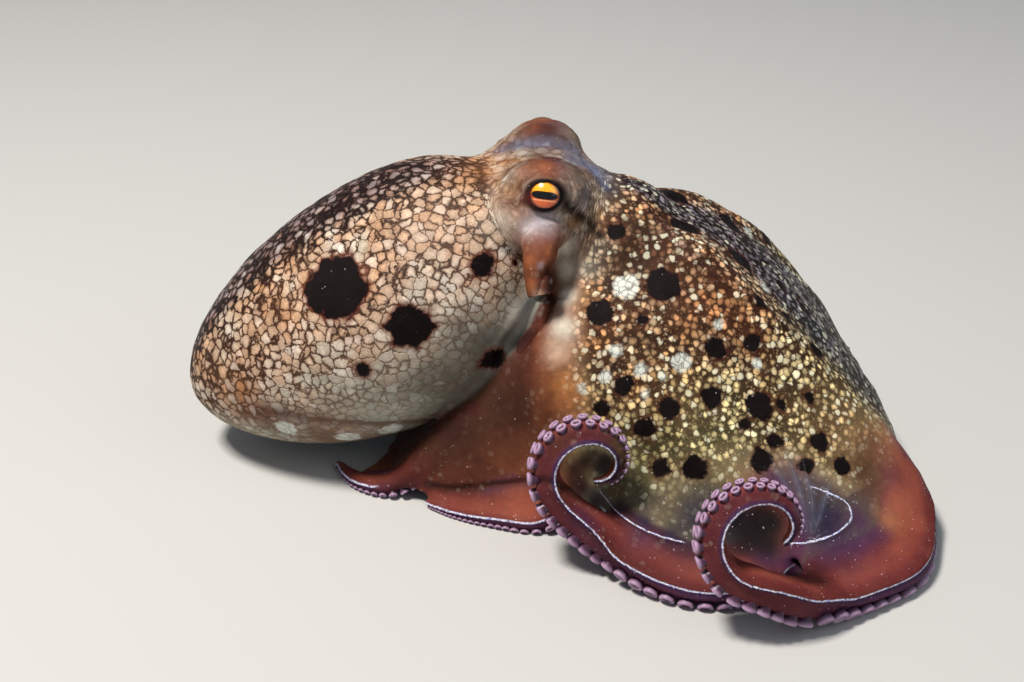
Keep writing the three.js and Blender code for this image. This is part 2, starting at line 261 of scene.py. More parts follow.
# neighbours that share a web, how far its middle swells out, how deep its edge is cut and how far it flares
webs = [("r4", "r3", 4, 0, 0), ("r3", "r2", 5, 0, 0), ("r2", "r1", 5, 0, 0), ("r1", "l1", 4, 0, 4.5),
        ("l1", "l2", 5, 0.06, 0), ("l2", "l3", 5, 0.08, 0), ("l3", "l4", 4, 0.08, 0),
        ("l4", "r4", -12, 0.08, 0)]
web = dict(thickness=2.2, lift=0.12, fillet=9.0)
stations = 260  # along each arm


def curlPoints(centre, radius, last, start, turns, lean):
    steps = round(turns * 12)
    k = np.arange(steps + 1) / steps
    angle = np.radians(start - 360 * turns * k)
    r = radius * (last / radius) ** k
    over = vec(0, math.sin(math.radians(lean)), math.cos(math.radians(lean)))
    return vec(*centre) + np.outer(r * np.cos(angle), vec(1, 0, 0)) + np.outer(r * np.sin(angle), over)


def shareAt(arm, index):  # how far along the arm one of its line's points is
    low = int(index)
    points = list(arm["line"][:low + 1])
    if index > low:
        points.append(mix(vec(*arm["line"][low]), vec(*arm["line"][low + 1]), index - low))
    return line(points)[1] / arm["total"]


def shape(arm):
    curled = curlPoints(**arm["curl"]) if "curl" in arm else np.zeros((0, 3))
    place, arm["total"] = line(np.vstack([arm["line"], curled]), stations)
    t = np.linspace(0, 1, stations)
    ahead = unit(np.gradient(place, axis=0))
    crest = unit(place - armCore)
    crest = unit(mix(crest, vec(0, 0, 1), armSize["upright"] * (1 - rise(place[:, 2], 8, 22))[:, None]))
    arm["curlFrom"] = shareAt(arm, len(arm["line"]) - 1) if len(curled) else 2.0
    if len(curled):
        inward = unit(vec(*arm["curl"]["centre"]) - place)
        turned = rise(t, arm["curlFrom"] - 0.12, arm["curlFrom"] + 0.05)[:, None]
        crest = mix(crest, inward, turned)
    crest = unit(crest - ahead * dot(crest, ahead)[:, None])
    size = arm["girth"] * (1 + (armSize["tipShare"] - 1) * t ** arm.get("slimming", armSize["slimming"]))
    arm.update(t=t, place=place, ahead=ahead, crest=crest, side=np.cross(ahead, crest),
               halfWidth=armSize["halfWidth"] * size, depth=armSize["depth"] * size,
               lift=armSize["curlKeel"] * rise(t, arm["curlFrom"] - 0.1, arm["curlFrom"] + 0.03),
               webEnd=shareAt(arm, arm["lengths"][0]), midEnd=shareAt(arm, arm["lengths"][1]),
               keelStart=[shareAt(arm, index) for index in arm.get("keelFrom", arm["webTo"])])


for each in arms.values():
    shape(each)

# half of an arm's outline, from the crest down over the keel to the oral face: shares of its size
profile = np.array([[0, 0.42], [0.3, 0.405], [0.58, 0.345], [0.8, 0.235], [0.93, 0.115], [1.03, 0.02],
                    [1.02, -0.03], [0.88, -0.1], [0.78, -0.22], [0.72, -0.36], [0.66, -0.48], [0.5, -0.55],
                    [0.25, -0.57], [0, -0.56]])
outline = np.vstack([profile[:-1], (profile * [-1, 1])[::-1][:-1]])


def armShell(arm, first, last):
    pick = (arm["t"] >= first - 1e-6) & (arm["t"] <= last + 1e-6)
    halfWidth, side = arm["halfWidth"][pick][:, None, None], arm["side"][pick][:, None]
    across = outline[:, 0][None, :, None] * halfWidth * side
    lift, y = arm["lift"][pick][:, None], outline[:, 1][None]
    top, low = profile[0, 1], -profile[-1, 1]
    y = lift + np.where(y > 0, y * (top - lift) / top, y * (low + lift) / low)
    over = y[..., None] * arm["depth"][pick][:, None, None] * arm["crest"][pick][:, None]
    return lofted((arm["place"][pick][:, None] + across + over)[:, ::-1])


def at(arm, name, share):
    return np.stack([np.interp(share, arm["t"], arm[name][:, k]) for k in range(3)], -1)


def webShell(one, two, billow, scoop, flare, rows=72, columns=56):
    a, b = arms[one], arms[two]
    v = np.linspace(0.0, 1.0, columns + 1)[None, :]
    u = 0.1 + (1 - scoop * np.sin(np.pi * v) - 0.1) * np.linspace(0, 1, rows + 1)[:, None]
    ends = []
    for arm, reach in ((a, shareAt(a, a["webTo"][1])), (b, shareAt(b, b["webTo"][0]))):
        depth = np.interp(u * reach, arm["t"], arm["depth"])[..., None]
        ends.append((at(arm, "place", u * reach), at(arm, "crest", u * reach), depth))
    (pa, ca, da), (pb, cb, db) = ends
    s = v[..., None]
    middle = mix(pa + ca * web["lift"] * da, pb + cb * web["lift"] * db, s)
    out = unit(middle - armCore)
    middle = middle + out * (np.sin(np.pi * v) * (billow * np.sin(np.pi * u) + flare * u ** 3))[..., None]
    width = np.linalg.norm(pb - pa, axis=-1, keepdims=True)
    top = armSize["crestShare"] - web["lift"]
    for share, crest, depth in ((s, ca, da), (1 - s, cb, db)):  # it climbs to each arm's crest
        middle = middle + crest * (top * depth - web["thickness"] / 2) * bell(share * width, web["fillet"])
    middle[..., 2] = np.maximum(middle[..., 2], web["thickness"] / 2 + 0.2)
    normal = unit(np.cross(np.gradient(middle, axis=0), np.gradient(middle, axis=1)))
    flip = np.where(dot(normal, out) < 0, -1.0, 1.0)[..., None]
    return slab(middle, normal * flip, web["thickness"])


# mantle, head and funnel

mantle = dict(neck=(9, 11.5, 86), tip=(-111.5, 5, 20), girth=43.2, widestAt=0.42,
              bluntness=0.37, taper=0.57, sag=3.0)
head = dict(centre=(10, midY, 89), radii=(28, 23, 20), eyeSpread=17,
            mound=(10.6, 103.5, 14.6, 12, 11.8),  # along x and z, and its radii
            nape=(3, 95.5, 17, 15, 11.5))
crown = dict(centre=(33, midY, 73), radii=(27, 30, 27))
plug = dict(centre=(88, -70, 6), radii=(11, 8, 5))  # where the first web meets its arm
seam = dict(place=(87, -80, 14), radius=8, bare=11)  # evened out there, and without suckers
funnel = dict(line=[[13, -9, 94], [9, -20, 91], [8.8, -26.5, 75.8]], root=7, tip=4.2, bore=2.7)


def mantleFrame():
    neck, tip = vec(*mantle["neck"]), vec(*mantle["tip"])
    axis = tip - neck
    across = unit(vec(axis[1], -axis[0], 0))
    return neck, axis, across, unit(np.cross(axis, across))


def mantleRadius(t):
    t = np.clip(t, 0.0005, 0.9995)
    w = mantle["widestAt"]
    return mantle["girth"] * (t / w) ** mantle["bluntness"] * ((1 - t) / (1 - w)) ** mantle["taper"]


def mantleShell(rings=110, around=120):
    neck, axis, across, over = mantleFrame()
    t = (1 - np.cos(np.pi * np.linspace(0.012, 0.988, rings))) / 2
    centre = neck + np.outer(t, axis) - np.outer(mantle["sag"] * np.sin(np.pi * t), vec(0, 0, 1))
    a = np.linspace(0, 2 * np.pi, around, endpoint=False)
    spoke = np.outer(np.cos(a), across) + np.outer(np.sin(a), over)
    return lofted(centre[:, None] + mantleRadius(t)[:, None, None] * spoke[None])


def funnelShell():
    place, _ = line(funnel["line"], 40)
    ahead = unit(np.gradient(place, axis=0))
    across = unit(vec(1, 0, 0) - ahead * ahead[:, :1])
    over = np.cross(ahead, across)
    a = np.linspace(0, 2 * np.pi, 32, endpoint=False)
    spoke = np.cos(a)[None, :, None] * across[:, None] + np.sin(a)[None, :, None] * over[:, None]
    outer = place[:, None] + np.linspace(funnel["root"], funnel["tip"], 40)[:, None, None] * spoke
    deep = range(39, 26, -1)
    inner = np.stack([place[k] + funnel["bore"] * spoke[k] for k in deep])
    return lofted(np.concatenate([outer, inner]))


# one skin

joining = dict(coarse=1.5, fine=0.85,  # voxels, in millimetres
               crown=9, head=22, body=6, nape=150, seam=40)  # rounds of evening out
print("skin: laying out the crown, webs and arms")
soft = [ellipsoid(head["centre"], head["radii"]), ellipsoid(crown["centre"], crown["radii"])]
for sign in (-1, 1):
    for x, z, *radii in (head["mound"], head["nape"]):
        soft.append(ellipsoid((x, midY + sign * head["eyeSpread"], z), radii))
soft += [webShell(*w) for w in webs]
soft += [armShell(a, 0, a["midEnd"]) for a in arms.values()]
points, quads = remeshed(soft, joining["coarse"])
pairs = neighbours(quads)
points = relaxed(points, pairs, joining["crown"])
nearHead = 1 - rise(farFrom(points, (12, midY, 99), (1.1, 1.2, 1)), 22, 34)
points = relaxed(points, pairs, joining["head"], nearHead)

print("skin: joining the mantle and the free arms")
shells = [(points, quads.tolist()), mantleShell(), funnelShell()]
shells += [armShell(a, a["webEnd"], 1) for a in arms.values()]
shells += [ellipsoid(plug["centre"], plug["radii"])]
points, quads = remeshed(shells, joining["fine"])
print("skin:", len(points), "points")


# where each point of the skin is: on which arm, and where on it

def nearest(points, places):  # of some places, and how far off it is
    places = places.astype(np.float32)
    size = (places ** 2).sum(1)[None]
    best, away = np.empty(len(points), int), np.empty(len(points))
    for k in range(0, len(points), 20000):
        p = points[k:k + 20000].astype(np.float32)
        far = size - 2 * p @ places.T
        best[k:k + 20000] = far.argmin(1)
        away[k:k + 20000] = far.min(1) + (p ** 2).sum(1)
    return best, np.sqrt(np.maximum(away, 0))


keelUp = armSize["curlKeel"]


def located(points):
    everyArm = list(arms.values())
    found = [nearest(points, arm["place"]) for arm in everyArm]
    best = np.stack([f[0] for f in found])
    away = np.stack([f[1] for f in found])
    size = np.stack([arm["halfWidth"][b] for arm, b in zip(everyArm, best)])
    owner = (away / size ** 0.25).argmin(0)
    pick = best[owner, np.arange(len(points))]

    def ofArm(name):
        return np.stack([arm[name] for arm in everyArm])[owner, pick]

    off = points - ofArm("place")
    webbed = [arm["t"] <= arm["webEnd"] * 1.04 for arm in everyArm]
    upper = [nearest(points, arm["place"][part]) for arm, part in zip(everyArm, webbed)]
    reach = np.stack([arm["t"][part][f[0]] / arm["webEnd"]
                      for arm, part, f in zip(everyArm, webbed, upper)])
    pull = 1 / (np.stack([f[1] for f in upper]) + 2) ** 5
    halfWidth, depth, t = ofArm("halfWidth"), ofArm("depth"), ofArm("t")
    x = dot(off, ofArm("side")) / halfWidth
    raised = np.maximum(ofArm("lift"), keelUp * (1 - rise(ofArm("place")[:, 2], 18, 26)))
    keelStart = np.array([arm["keelStart"] for arm in everyArm])[owner, (x < 0).astype(int)]
    webEnd = np.array([arm["webEnd"] for arm in everyArm])[owner]
    neck, axis, across, over = mantleFrame()
    m = dot(points - neck, axis) / dot(axis, axis)
    centre = neck + np.clip(m, 0, 1)[:, None] * axis
    centre[:, 2] -= mantle["sag"] * np.sin(np.pi * np.clip(m, 0, 1))
    spoke = points - centre
    spoke = spoke - axis * (dot(spoke, axis) / dot(axis, axis))[:, None]
    proud = np.linalg.norm(spoke, axis=1) - mantleRadius(m)
    near = 1 + 2.2 * rise(points[:, 2], 86, 93)
    return dict(
        x=x, y=dot(off, ofArm("crest")) - raised * depth, halfWidth=halfWidth,
        past=t - webEnd, pastKeel=t - keelStart,
        reach=(reach * pull).sum(0) / pull.sum(0), proud=proud,
        mantle=rise(-np.abs(proud) / near, -3.2, -1.2) * rise(m, 0.03, 0.06),
        lift=-dot(spoke, over) / mantleRadius(m), back=m)


def headPart(points):  # how much a point belongs to the head
    return 1 - rise(farFrom(points, (8, midY, 98), (1, 1.1, 1)), 20, 32)


def bandOf(where):  # the free arms and their keels
    wide = np.abs(where["x"])
    band = rise(where["past"], -0.1, 0.0) * (1 - rise(wide, 1.05, 1.3)) * (1 - where["mantle"])
    keelLine = rise(where["pastKeel"], -0.02, 0.01) * rise(wide, 0.5, 0.66) * (1 - rise(wide, 1.3, 1.5))
    return band, keelLine * (1 - where["mantle"])


pairs = neighbours(quads)
where = located(points)
free = rise(where["past"], -0.02, 0.05) * (np.abs(where["x"]) < 1.5)
points = relaxed(points, pairs, joining["body"], 1 - 0.85 * free)
nape = bell(where["proud"], 8) * (1 - rise(farFrom(points, (-5, midY, 98), (1, 1.25, 1)), 22, 34))
nape = nape * rise(points[:, 2], 85, 92)
points = relaxed(points, pairs, joining["nape"], nape)
points = relaxed(points, pairs, joining["seam"], bell(farFrom(points, seam["place"]), seam["radius"]))
points[:, 2] = np.maximum(points[:, 2], lowest)
normals = normalsOf(points, quads)


# what a place in the camera's picture, 1024 by 682, falls on

sight = dict(place=vec(0, -424.3, 290), lens=50, film=36, tilt=60, width=1024, height=682)
pixelShare = sight["film"] / sight["width"] / sight["lens"]  # a pixel's size, a unit away


def sightRay(px, py):
    a, b = (px - sight["width"] / 2) * pixelShare, (sight["height"] / 2 - py) * pixelShare
    s, c = math.sin(math.radians(sight["tilt"])), math.cos(math.radians(sight["tilt"]))
    return unit(vec(a, b * c + s, b * s - c))


def touched(px, py):
    place, _, _, _ = tree.ray_cast(Vector(sight["place"]), Vector(sightRay(px, py)))
    return None if place is None else np.array(place)


def bothSides(px, py, r):  # the place and its twin on the other side, and a radius there in millimetres
    first = touched(px, py)
    if first is None:
        return [], 1.0
    twin = np.array(tree.find_nearest(Vector((first[0], 2 * midY - first[1], first[2])))[0])
    return (first, twin), r * np.linalg.norm(first - sight["place"]) * pixelShare


def stroke(pixels, count=80):  # a line drawn in the picture, laid on the skin
    drawn, _ = line([(px, py, 0) for px, py in pixels], count)
    laid = [touched(px, py) for px, py, _ in drawn]
    return np.array([p for p in laid if p is not None])


def acrossStroke(points, normals, laid):  # signed distance across a stroke, distance, and how far along it
    best, _ = nearest(points, laid)
    off = points - laid[best]
    ahead = unit(np.gradient(laid, axis=0))[best]
    inner = (best > 0) & (best < len(laid) - 1)
    off = off - ahead * (dot(off, ahead) * inner)[:, None]
    return dot(off, np.cross(ahead, normals)), np.linalg.norm(off, axis=1), best / (len(laid) - 1)


print("skin: folds and keels")
tree = BVHTree.FromPolygons(points.tolist(), quads.tolist())
folds = dict(
    keelHeight=0.8, keelSpread=0.7,
    opening=[(549, 262), (552, 280), (548, 298), (540, 314), (529, 329), (518, 342), (508, 354)],
    openingWidth=3.4, openingDepth=3.2, rimHeight=0.9,
    belly=[(262, 410), (284, 414), (330, 421), (380, 424), (430, 420), (475, 408)], bellyDepth=0.7,
    sulcus=[(497, 150), (520, 144), (548, 143), (575, 150), (592, 168), (606, 186)], sulcusDepth=0.7,
    crest=[(616, 165), (640, 200), (700, 260), (760, 306), (808, 342), (862, 397), (903, 453)],
    crestHeight=0.8,
    webEdges=([(787, 542), (800, 544), (815, 542), (838, 532), (850, 520), (846, 505), (828, 494),
               (808, 486)],
              [(597, 488), (614, 508), (635, 525), (659, 536), (686, 543)]), webEdgeHeight=0.6,
    fan=([(806, 536), (795, 505), (781, 478), (766, 450)], [(808, 536), (803, 505), (794, 472), (784, 448)],
         [(811, 536), (812, 505), (807, 478), (801, 452)], [(814, 534), (823, 505), (831, 478)]),
    fanHeight=0.35,
    groove=[(428, 484), (455, 489), (500, 486), (548, 482), (572, 489)], grooveDepth=1.3)
single, several = ("opening", "belly", "sulcus", "crest", "groove"), ("webEdges", "fan")
laid = {name: stroke(folds[name]) for name in single}
laid.update({name: [stroke(pixels) for pixels in folds[name]] for name in several})


def measured(points, normals):  # where the folds are
    found = {name: acrossStroke(points, normals, laid[name]) for name in single}
    for name in several:
        found[name] = [acrossStroke(points, normals, one) for one in laid[name]]
    _, away, share = found["opening"]
    found["inOpening"] = bell(away, folds["openingWidth"]) * rise(np.sin(np.pi * share), 0, 0.5)
    about = points - vec(25, 12, 0)
    found["heading"] = np.arctan2(about[:, 1], about[:, 0])
    found["drop"] = np.linalg.norm(points - vec(25, 12, 96), axis=1)
    return found


where = located(points)
fold = measured(points, normals)
band, keelLine = bandOf(where)
m = where["mantle"]


def along(name, width, ends=False):  # how near a fold's line, fading to its ends if asked
    _, away, share = fold[name]
    return bell(away, width) * (np.sin(np.pi * share) if ends else 1)


push = keelLine * bell(where["y"], folds["keelSpread"]) * folds["keelHeight"] * where["halfWidth"] / 9
push = push - folds["openingDepth"] * fold["inOpening"]
push = push - folds["grooveDepth"] * along("groove", 1.5, True)
push = push + folds["rimHeight"] * bell(fold["opening"][1] - 5.8, 1.8) * m
push = push - folds["bellyDepth"] * along("belly", 1.5, True)
push = push - folds["sulcusDepth"] * along("sulcus", 1.6)
push = push + folds["crestHeight"] * along("crest", 1.3)
for _, away, share in fold["webEdges"]:
    push = push + folds["webEdgeHeight"] * bell(away, 0.9) * rise(np.sin(np.pi * share), 0, 0.2)
for _, away, share in fold["fan"]:
    push = push + folds["fanHeight"] * bell(away, 0.9) * np.sin(np.pi * share)
# soft lumps on the mantle, ridges that run down the webs and the neck
throat = (1 - m) * (1 - rise(farFrom(points, (12, midY, 84), (1, 1.5, 1)), 17, 27))
webPart = (1 - m) * (1 - band)
radial = np.stack([fold["heading"] * 45, fold["drop"] * 0.25, fold["drop"] * 0], 1)
lumps = [  # where, how high, in what space, how large, and where in the noise
    (headPart(points), 0.3, points * vec(0.35, 1, 1), 1.5, 17),
    (headPart(points), 0.25, points * vec(0.4, 1, 1), 3.2, 19),
    (throat, 0.35, points * vec(1, 1, 0.2), 1.7, 11), (throat, 0.3, points * vec(1, 1, 0.25), 3.4, 13),
    (m, 0.25, points, 9, 0), (m, 0.12, points, 3.4, 7), (webPart, 0.2, points, 2.4, 3),
    (webPart * rise(where["reach"], 0.15, 0.45), 0.8, radial, 7, 0),
    (webPart * rise(where["reach"], 0.15, 0.45), 0.3, radial, 2.6, 5)]
for part, height, space, size, shift in lumps:
    push = push + part * height * softNoise(space, size, shift)
points = points + normals * push[:, None]
points[:, 2] = np.maximum(points[:, 2], lowest)

print("skin: lids round the eyes")
eye = dict(radius=7.0, place=(10.6, 23.4, 105.1), gaze=(-0.07, 0.925, 0.37),
           halfWide=4.55, halfHigh=3.9,  # the opening between the lids
           lidHeight=0.85, lidWidth=0.27, refined=10.5, cuts=3)


def eyeFrame(sign):  # centre, forward across the eye, up, and out along its gaze
    x, y, z = eye["place"]
    gaze = unit(vec(eye["gaze"][0], sign * eye["gaze"][1], eye["gaze"][2]))
    up = unit(vec(0, 0, 1) - gaze * gaze[2])
    return vec(x, midY + sign * y, z), sign * np.cross(up, gaze), up, gaze


draft = bmesh.new()
made = [draft.verts.new(p) for p in points.tolist()]
for quad in quads.tolist():
    draft.faces.new([made[i] for i in quad])
nearEye = np.zeros(len(points), bool)
for sign in (-1, 1):
    nearEye |= np.linalg.norm(points - eyeFrame(sign)[0], axis=1) < eye["refined"]
draft.verts.index_update()
chosen = [e for e in draft.edges if nearEye[e.verts[0].index] and nearEye[e.verts[1].index]]
bmesh.ops.subdivide_edges(draft, edges=chosen, cuts=eye["cuts"], use_grid_fill=True)
draft.verts.index_update()
points = np.array([v.co for v in draft.verts])
faces = [[v.index for v in face.verts] for face in draft.faces]
links = np.array([[e.verts[0].index, e.verts[1].index] for e in draft.edges])
draft.free()
pairs = np.concatenate([links[:, 0], links[:, 1]]), np.concatenate([links[:, 1], links[:, 0]])
aroundEye = np.full(len(points), 9.0)
lidAngle = np.zeros(len(points))
for sign in (-1, 1):
    centre, forward, up, gaze = eyeFrame(sign)
    off = points - centre
    far = np.linalg.norm(off, axis=1)
    a, b, c = dot(off, forward), dot(off, up), dot(off, gaze)
    near = (far < 14) & (c > 0)
    # the same angle from the gaze on the ball's own surface
    scale = eye["radius"] / np.maximum(far, 1e-6)
    ring = np.sqrt((a * scale / eye["halfWide"]) ** 2 + (b * scale / eye["halfHigh"]) ** 2)
    ring = np.where(near, ring, 9.0)
    lid = eye["lidHeight"] * bell(ring - 1.18, eye["lidWidth"]) * (1 + 0.25 * rise(b, 0, 4))
    lid = eye["radius"] + 0.15 + lid
    out = np.maximum(far, np.where(ring < 2.2, lid, 0))
    out = mix(out, mix(far, lid, 0.75), (ring > 1) * (1 - rise(ring, 1.25, 1.9)))
    out = np.where(ring < 1.06, mix(eye["radius"] - 1.2, out, rise(ring, 0.9, 1.06)), out)
    out = np.where(near, out, far)
    points = centre + off * (out / np.maximum(far, 1e-6))[:, None]
    aroundEye = np.minimum(aroundEye, ring)
    lidAngle = np.where(near, np.arctan2(b, a), lidAngle)
points = relaxed(points, pairs, 3, (aroundEye < 3.0) * rise(aroundEye, 1.0, 1.2))
wrinkle = 0.17 * np.sin(aroundEye * 24) * rise(aroundEye, 1.5, 1.8) * (1 - rise(aroundEye, 2.3, 2.8))

skinMesh = meshOf("skin", points + layoutShift, faces, mm)
normals = np.empty(len(points) * 3, np.float32)
skinMesh.vertex_normals.foreach_get("vector", normals)
normals = normals.reshape(-1, 3).astype(float)
points = points + normals * wrinkle[:, None]
skinMesh.vertices.foreach_set("co", ((points + layoutShift) * mm).astype(np.float32).ravel())
skinMesh.polygons.foreach_set("use_smooth", np.ones(len(faces), bool))
skinMesh.update()

# paints

print("skin: laying the paints")
tones = dict(
    bone=(214, 204, 186), pearl=(205, 202, 210), lavender=(176, 170, 178), peach=(212, 176, 150),
    tan=(182, 146, 112), sage=(176, 182, 168), straw=(226, 212, 150), sand=(150, 122, 84),
    olive=(140, 128, 84), moss=(92, 90, 52), ochre=(168, 116, 62), amber=(196, 128, 70), rust=(146, 84, 52),
    brick=(150, 80, 60), umber=(74, 44, 28), cocoa=(44, 24, 18), maroon=(74, 30, 26), wine=(106, 44, 42),
    plum=(72, 42, 70), navy=(30, 30, 48), slate=(92, 98, 120), lilac=(168, 132, 160), grey=(128, 126, 112),
    shade=(78, 72, 60), ink=(16, 9, 10))
tones = {name: paint(*tone) for name, tone in tones.items()}
n = len(points)
where = located(points)
fold = measured(points, normals)
band, keelLine = bandOf(where)
lift, m, reach, back = where["lift"], where["mantle"], where["reach"], where["back"]
patch, patchFine = softNoise(points, 13, 2.0), softNoise(points, 6, 9.0)
side = np.abs(np.degrees(fold["heading"]))  # 0 ahead of the face, 180 under the mantle
outward = rise(dot(normals, unit(points - armCore)), -0.25, 0.2)
wide = np.abs(where["x"])


def over(colour, *coats):  # lays paints over what is there: each one's tone, then its amount
    for tone, amount in zip(coats[::2], coats[1::2]):
        colour = mix(colour, tones[tone], np.clip(amount, 0, 1)[:, None])
    return colour


def plain(tone):
    return np.tile(tones[tone], (n, 1))


# The mantle's underside is darkened with the shade paint: painted shade.
def mantlePaint():
    cells = over(
        plain("tan"), "peach", 0.8 - 0.5 * rise(lift, 0.4, 0.8), "bone", rise(patch, -0.2, 0.4) * 0.75,
        "sage", (1 - rise(lift, -0.45, 0.15)) * 0.9,
        "amber", rise(patchFine + patch * 0.5, 0.2, 0.7) * rise(lift, -0.1, 0.4) * 0.45,
        "bone", rise(-patchFine, 0.1, 0.6) * (1 - rise(np.abs(lift), 0.3, 0.5)) * 0.7,
        "slate", rise(lift, 0.9, 0.99) * 0.7, "shade", (1 - rise(lift, -0.9, -0.5)) * 0.6)
    nets = over(plain("umber"), "cocoa", rise(lift, 0.1, 0.5) * 0.8,
                "sand", (1 - rise(lift, -0.45, 0.1)) * 0.35, "ink", rise(lift, 0.8, 0.95) * 0.8)
    width = 0.075 + 0.02 * rise(lift, 0.05, 0.6) + 0.16 * rise(lift, 0.88, 0.99)
    amount = 0.75 + 0.25 * rise(lift, -0.35, 0.3)
    width = width + 0.06 * rise(back, 0.7, 0.95)
    return cells, nets, width, amount * (1 - 0.85 * rise(-fold["opening"][1], -12, -4))


def headPaint():
    cells = over(plain("tan"), "bone", rise(-patchFine, -0.4, 0.4) * 0.7)
    return cells, plain("umber"), 0.1 + 0.03 * patchFine, np.full(n, 0.7)


def webPaint():
    smooth = rise(side, 88, 104)  # the arms under the mantle
    front = 1 - rise(side, 12, 25)
    cells = over(
        plain("tan"), "amber", rise(patch, -0.1, 0.6) * 0.6, "straw", rise(reach, 0.35, 0.7) * 0.6,
        "slate", front * 0.75, "rust", smooth, "maroon", smooth * (0.5 + 0.4 * rise(-patch, -0.2, 0.5)))
    nets = over(
        plain("umber"), "cocoa", rise(-patchFine, -0.4, 0.5) * 0.8, "moss", rise(reach, 0.45, 0.8) * 0.25,
        "ink", front * 0.8, "maroon", smooth)
    width = 0.34 + 0.1 * patchFine - 0.1 * rise(reach, 0.35, 0.65)
    return cells, nets, width, (1 - 0.85 * smooth) * (1 - rise(reach, 0.86, 1.0) * 0.9)


headShare = (1 - m) * headPart(points)
shares = m, headShare, (1 - m) * (1 - headShare)
cells, nets, netWidth, netAmount = (
    sum(s * one if one.ndim == 1 else s[:, None] * one for s, one in zip(shares, kind))
    for kind in zip(mantlePaint(), headPaint(), webPaint()))

# the free arms: red-brown above, lighter orange along the crest as a painted highlight and darker maroon
# towards the sides as painted shade, with random patches; purple below the keels and beside the web
onKeel = rise(where["pastKeel"], -0.03, 0.01)
belowKeel = onKeel * rise(-where["y"], 0.1, 1.2) * (1 - 0.8 * rise(where["pastKeel"], 0.16, 0.27))
bandTone = over(
    plain("wine"), "maroon", rise(wide, 0.3, 1.0) * 0.6 + 0.25 * rise(patch, 0, 0.5),
    "brick", (1 - rise(wide, 0.1, 0.75)) * 0.36 + patchFine * 0.2,
    "plum", belowKeel * 0.85, "plum", (1 - onKeel) * rise(wide, 0.2, 1.1) * 0.8)
webEdge = rise(reach, 0.84, 1.0) * (1 - m) * (1 - rise(side, 86, 100))
cells = over(cells, "plum", webEdge * 0.7, "navy", webEdge * rise(reach, 0.9, 1.0) * 0.7)
cells = mix(cells, bandTone, band[:, None])
nets = mix(nets, bandTone * 0.5, band[:, None])
netAmount = netAmount * (1 - 0.85 * band)
# the head's fine furrows are painted in: umber along them, a painted shade, and pearl between them, partly
# the skin's pale stripes and partly a painted highlight
furrows = softNoise(points * vec(0.4, 1, 1), 1.6, 17) * headShare
oral = (1 - outward) * (1 - m) * (1 - rise(points[:, 2], 16, 30))
cells = over(cells, "umber", rise(furrows, 0.1, 0.4) * 0.6, "pearl", rise(-furrows, 0.25, 0.5) * 0.3,
             "lilac", oral * 0.7 * (1 - band))
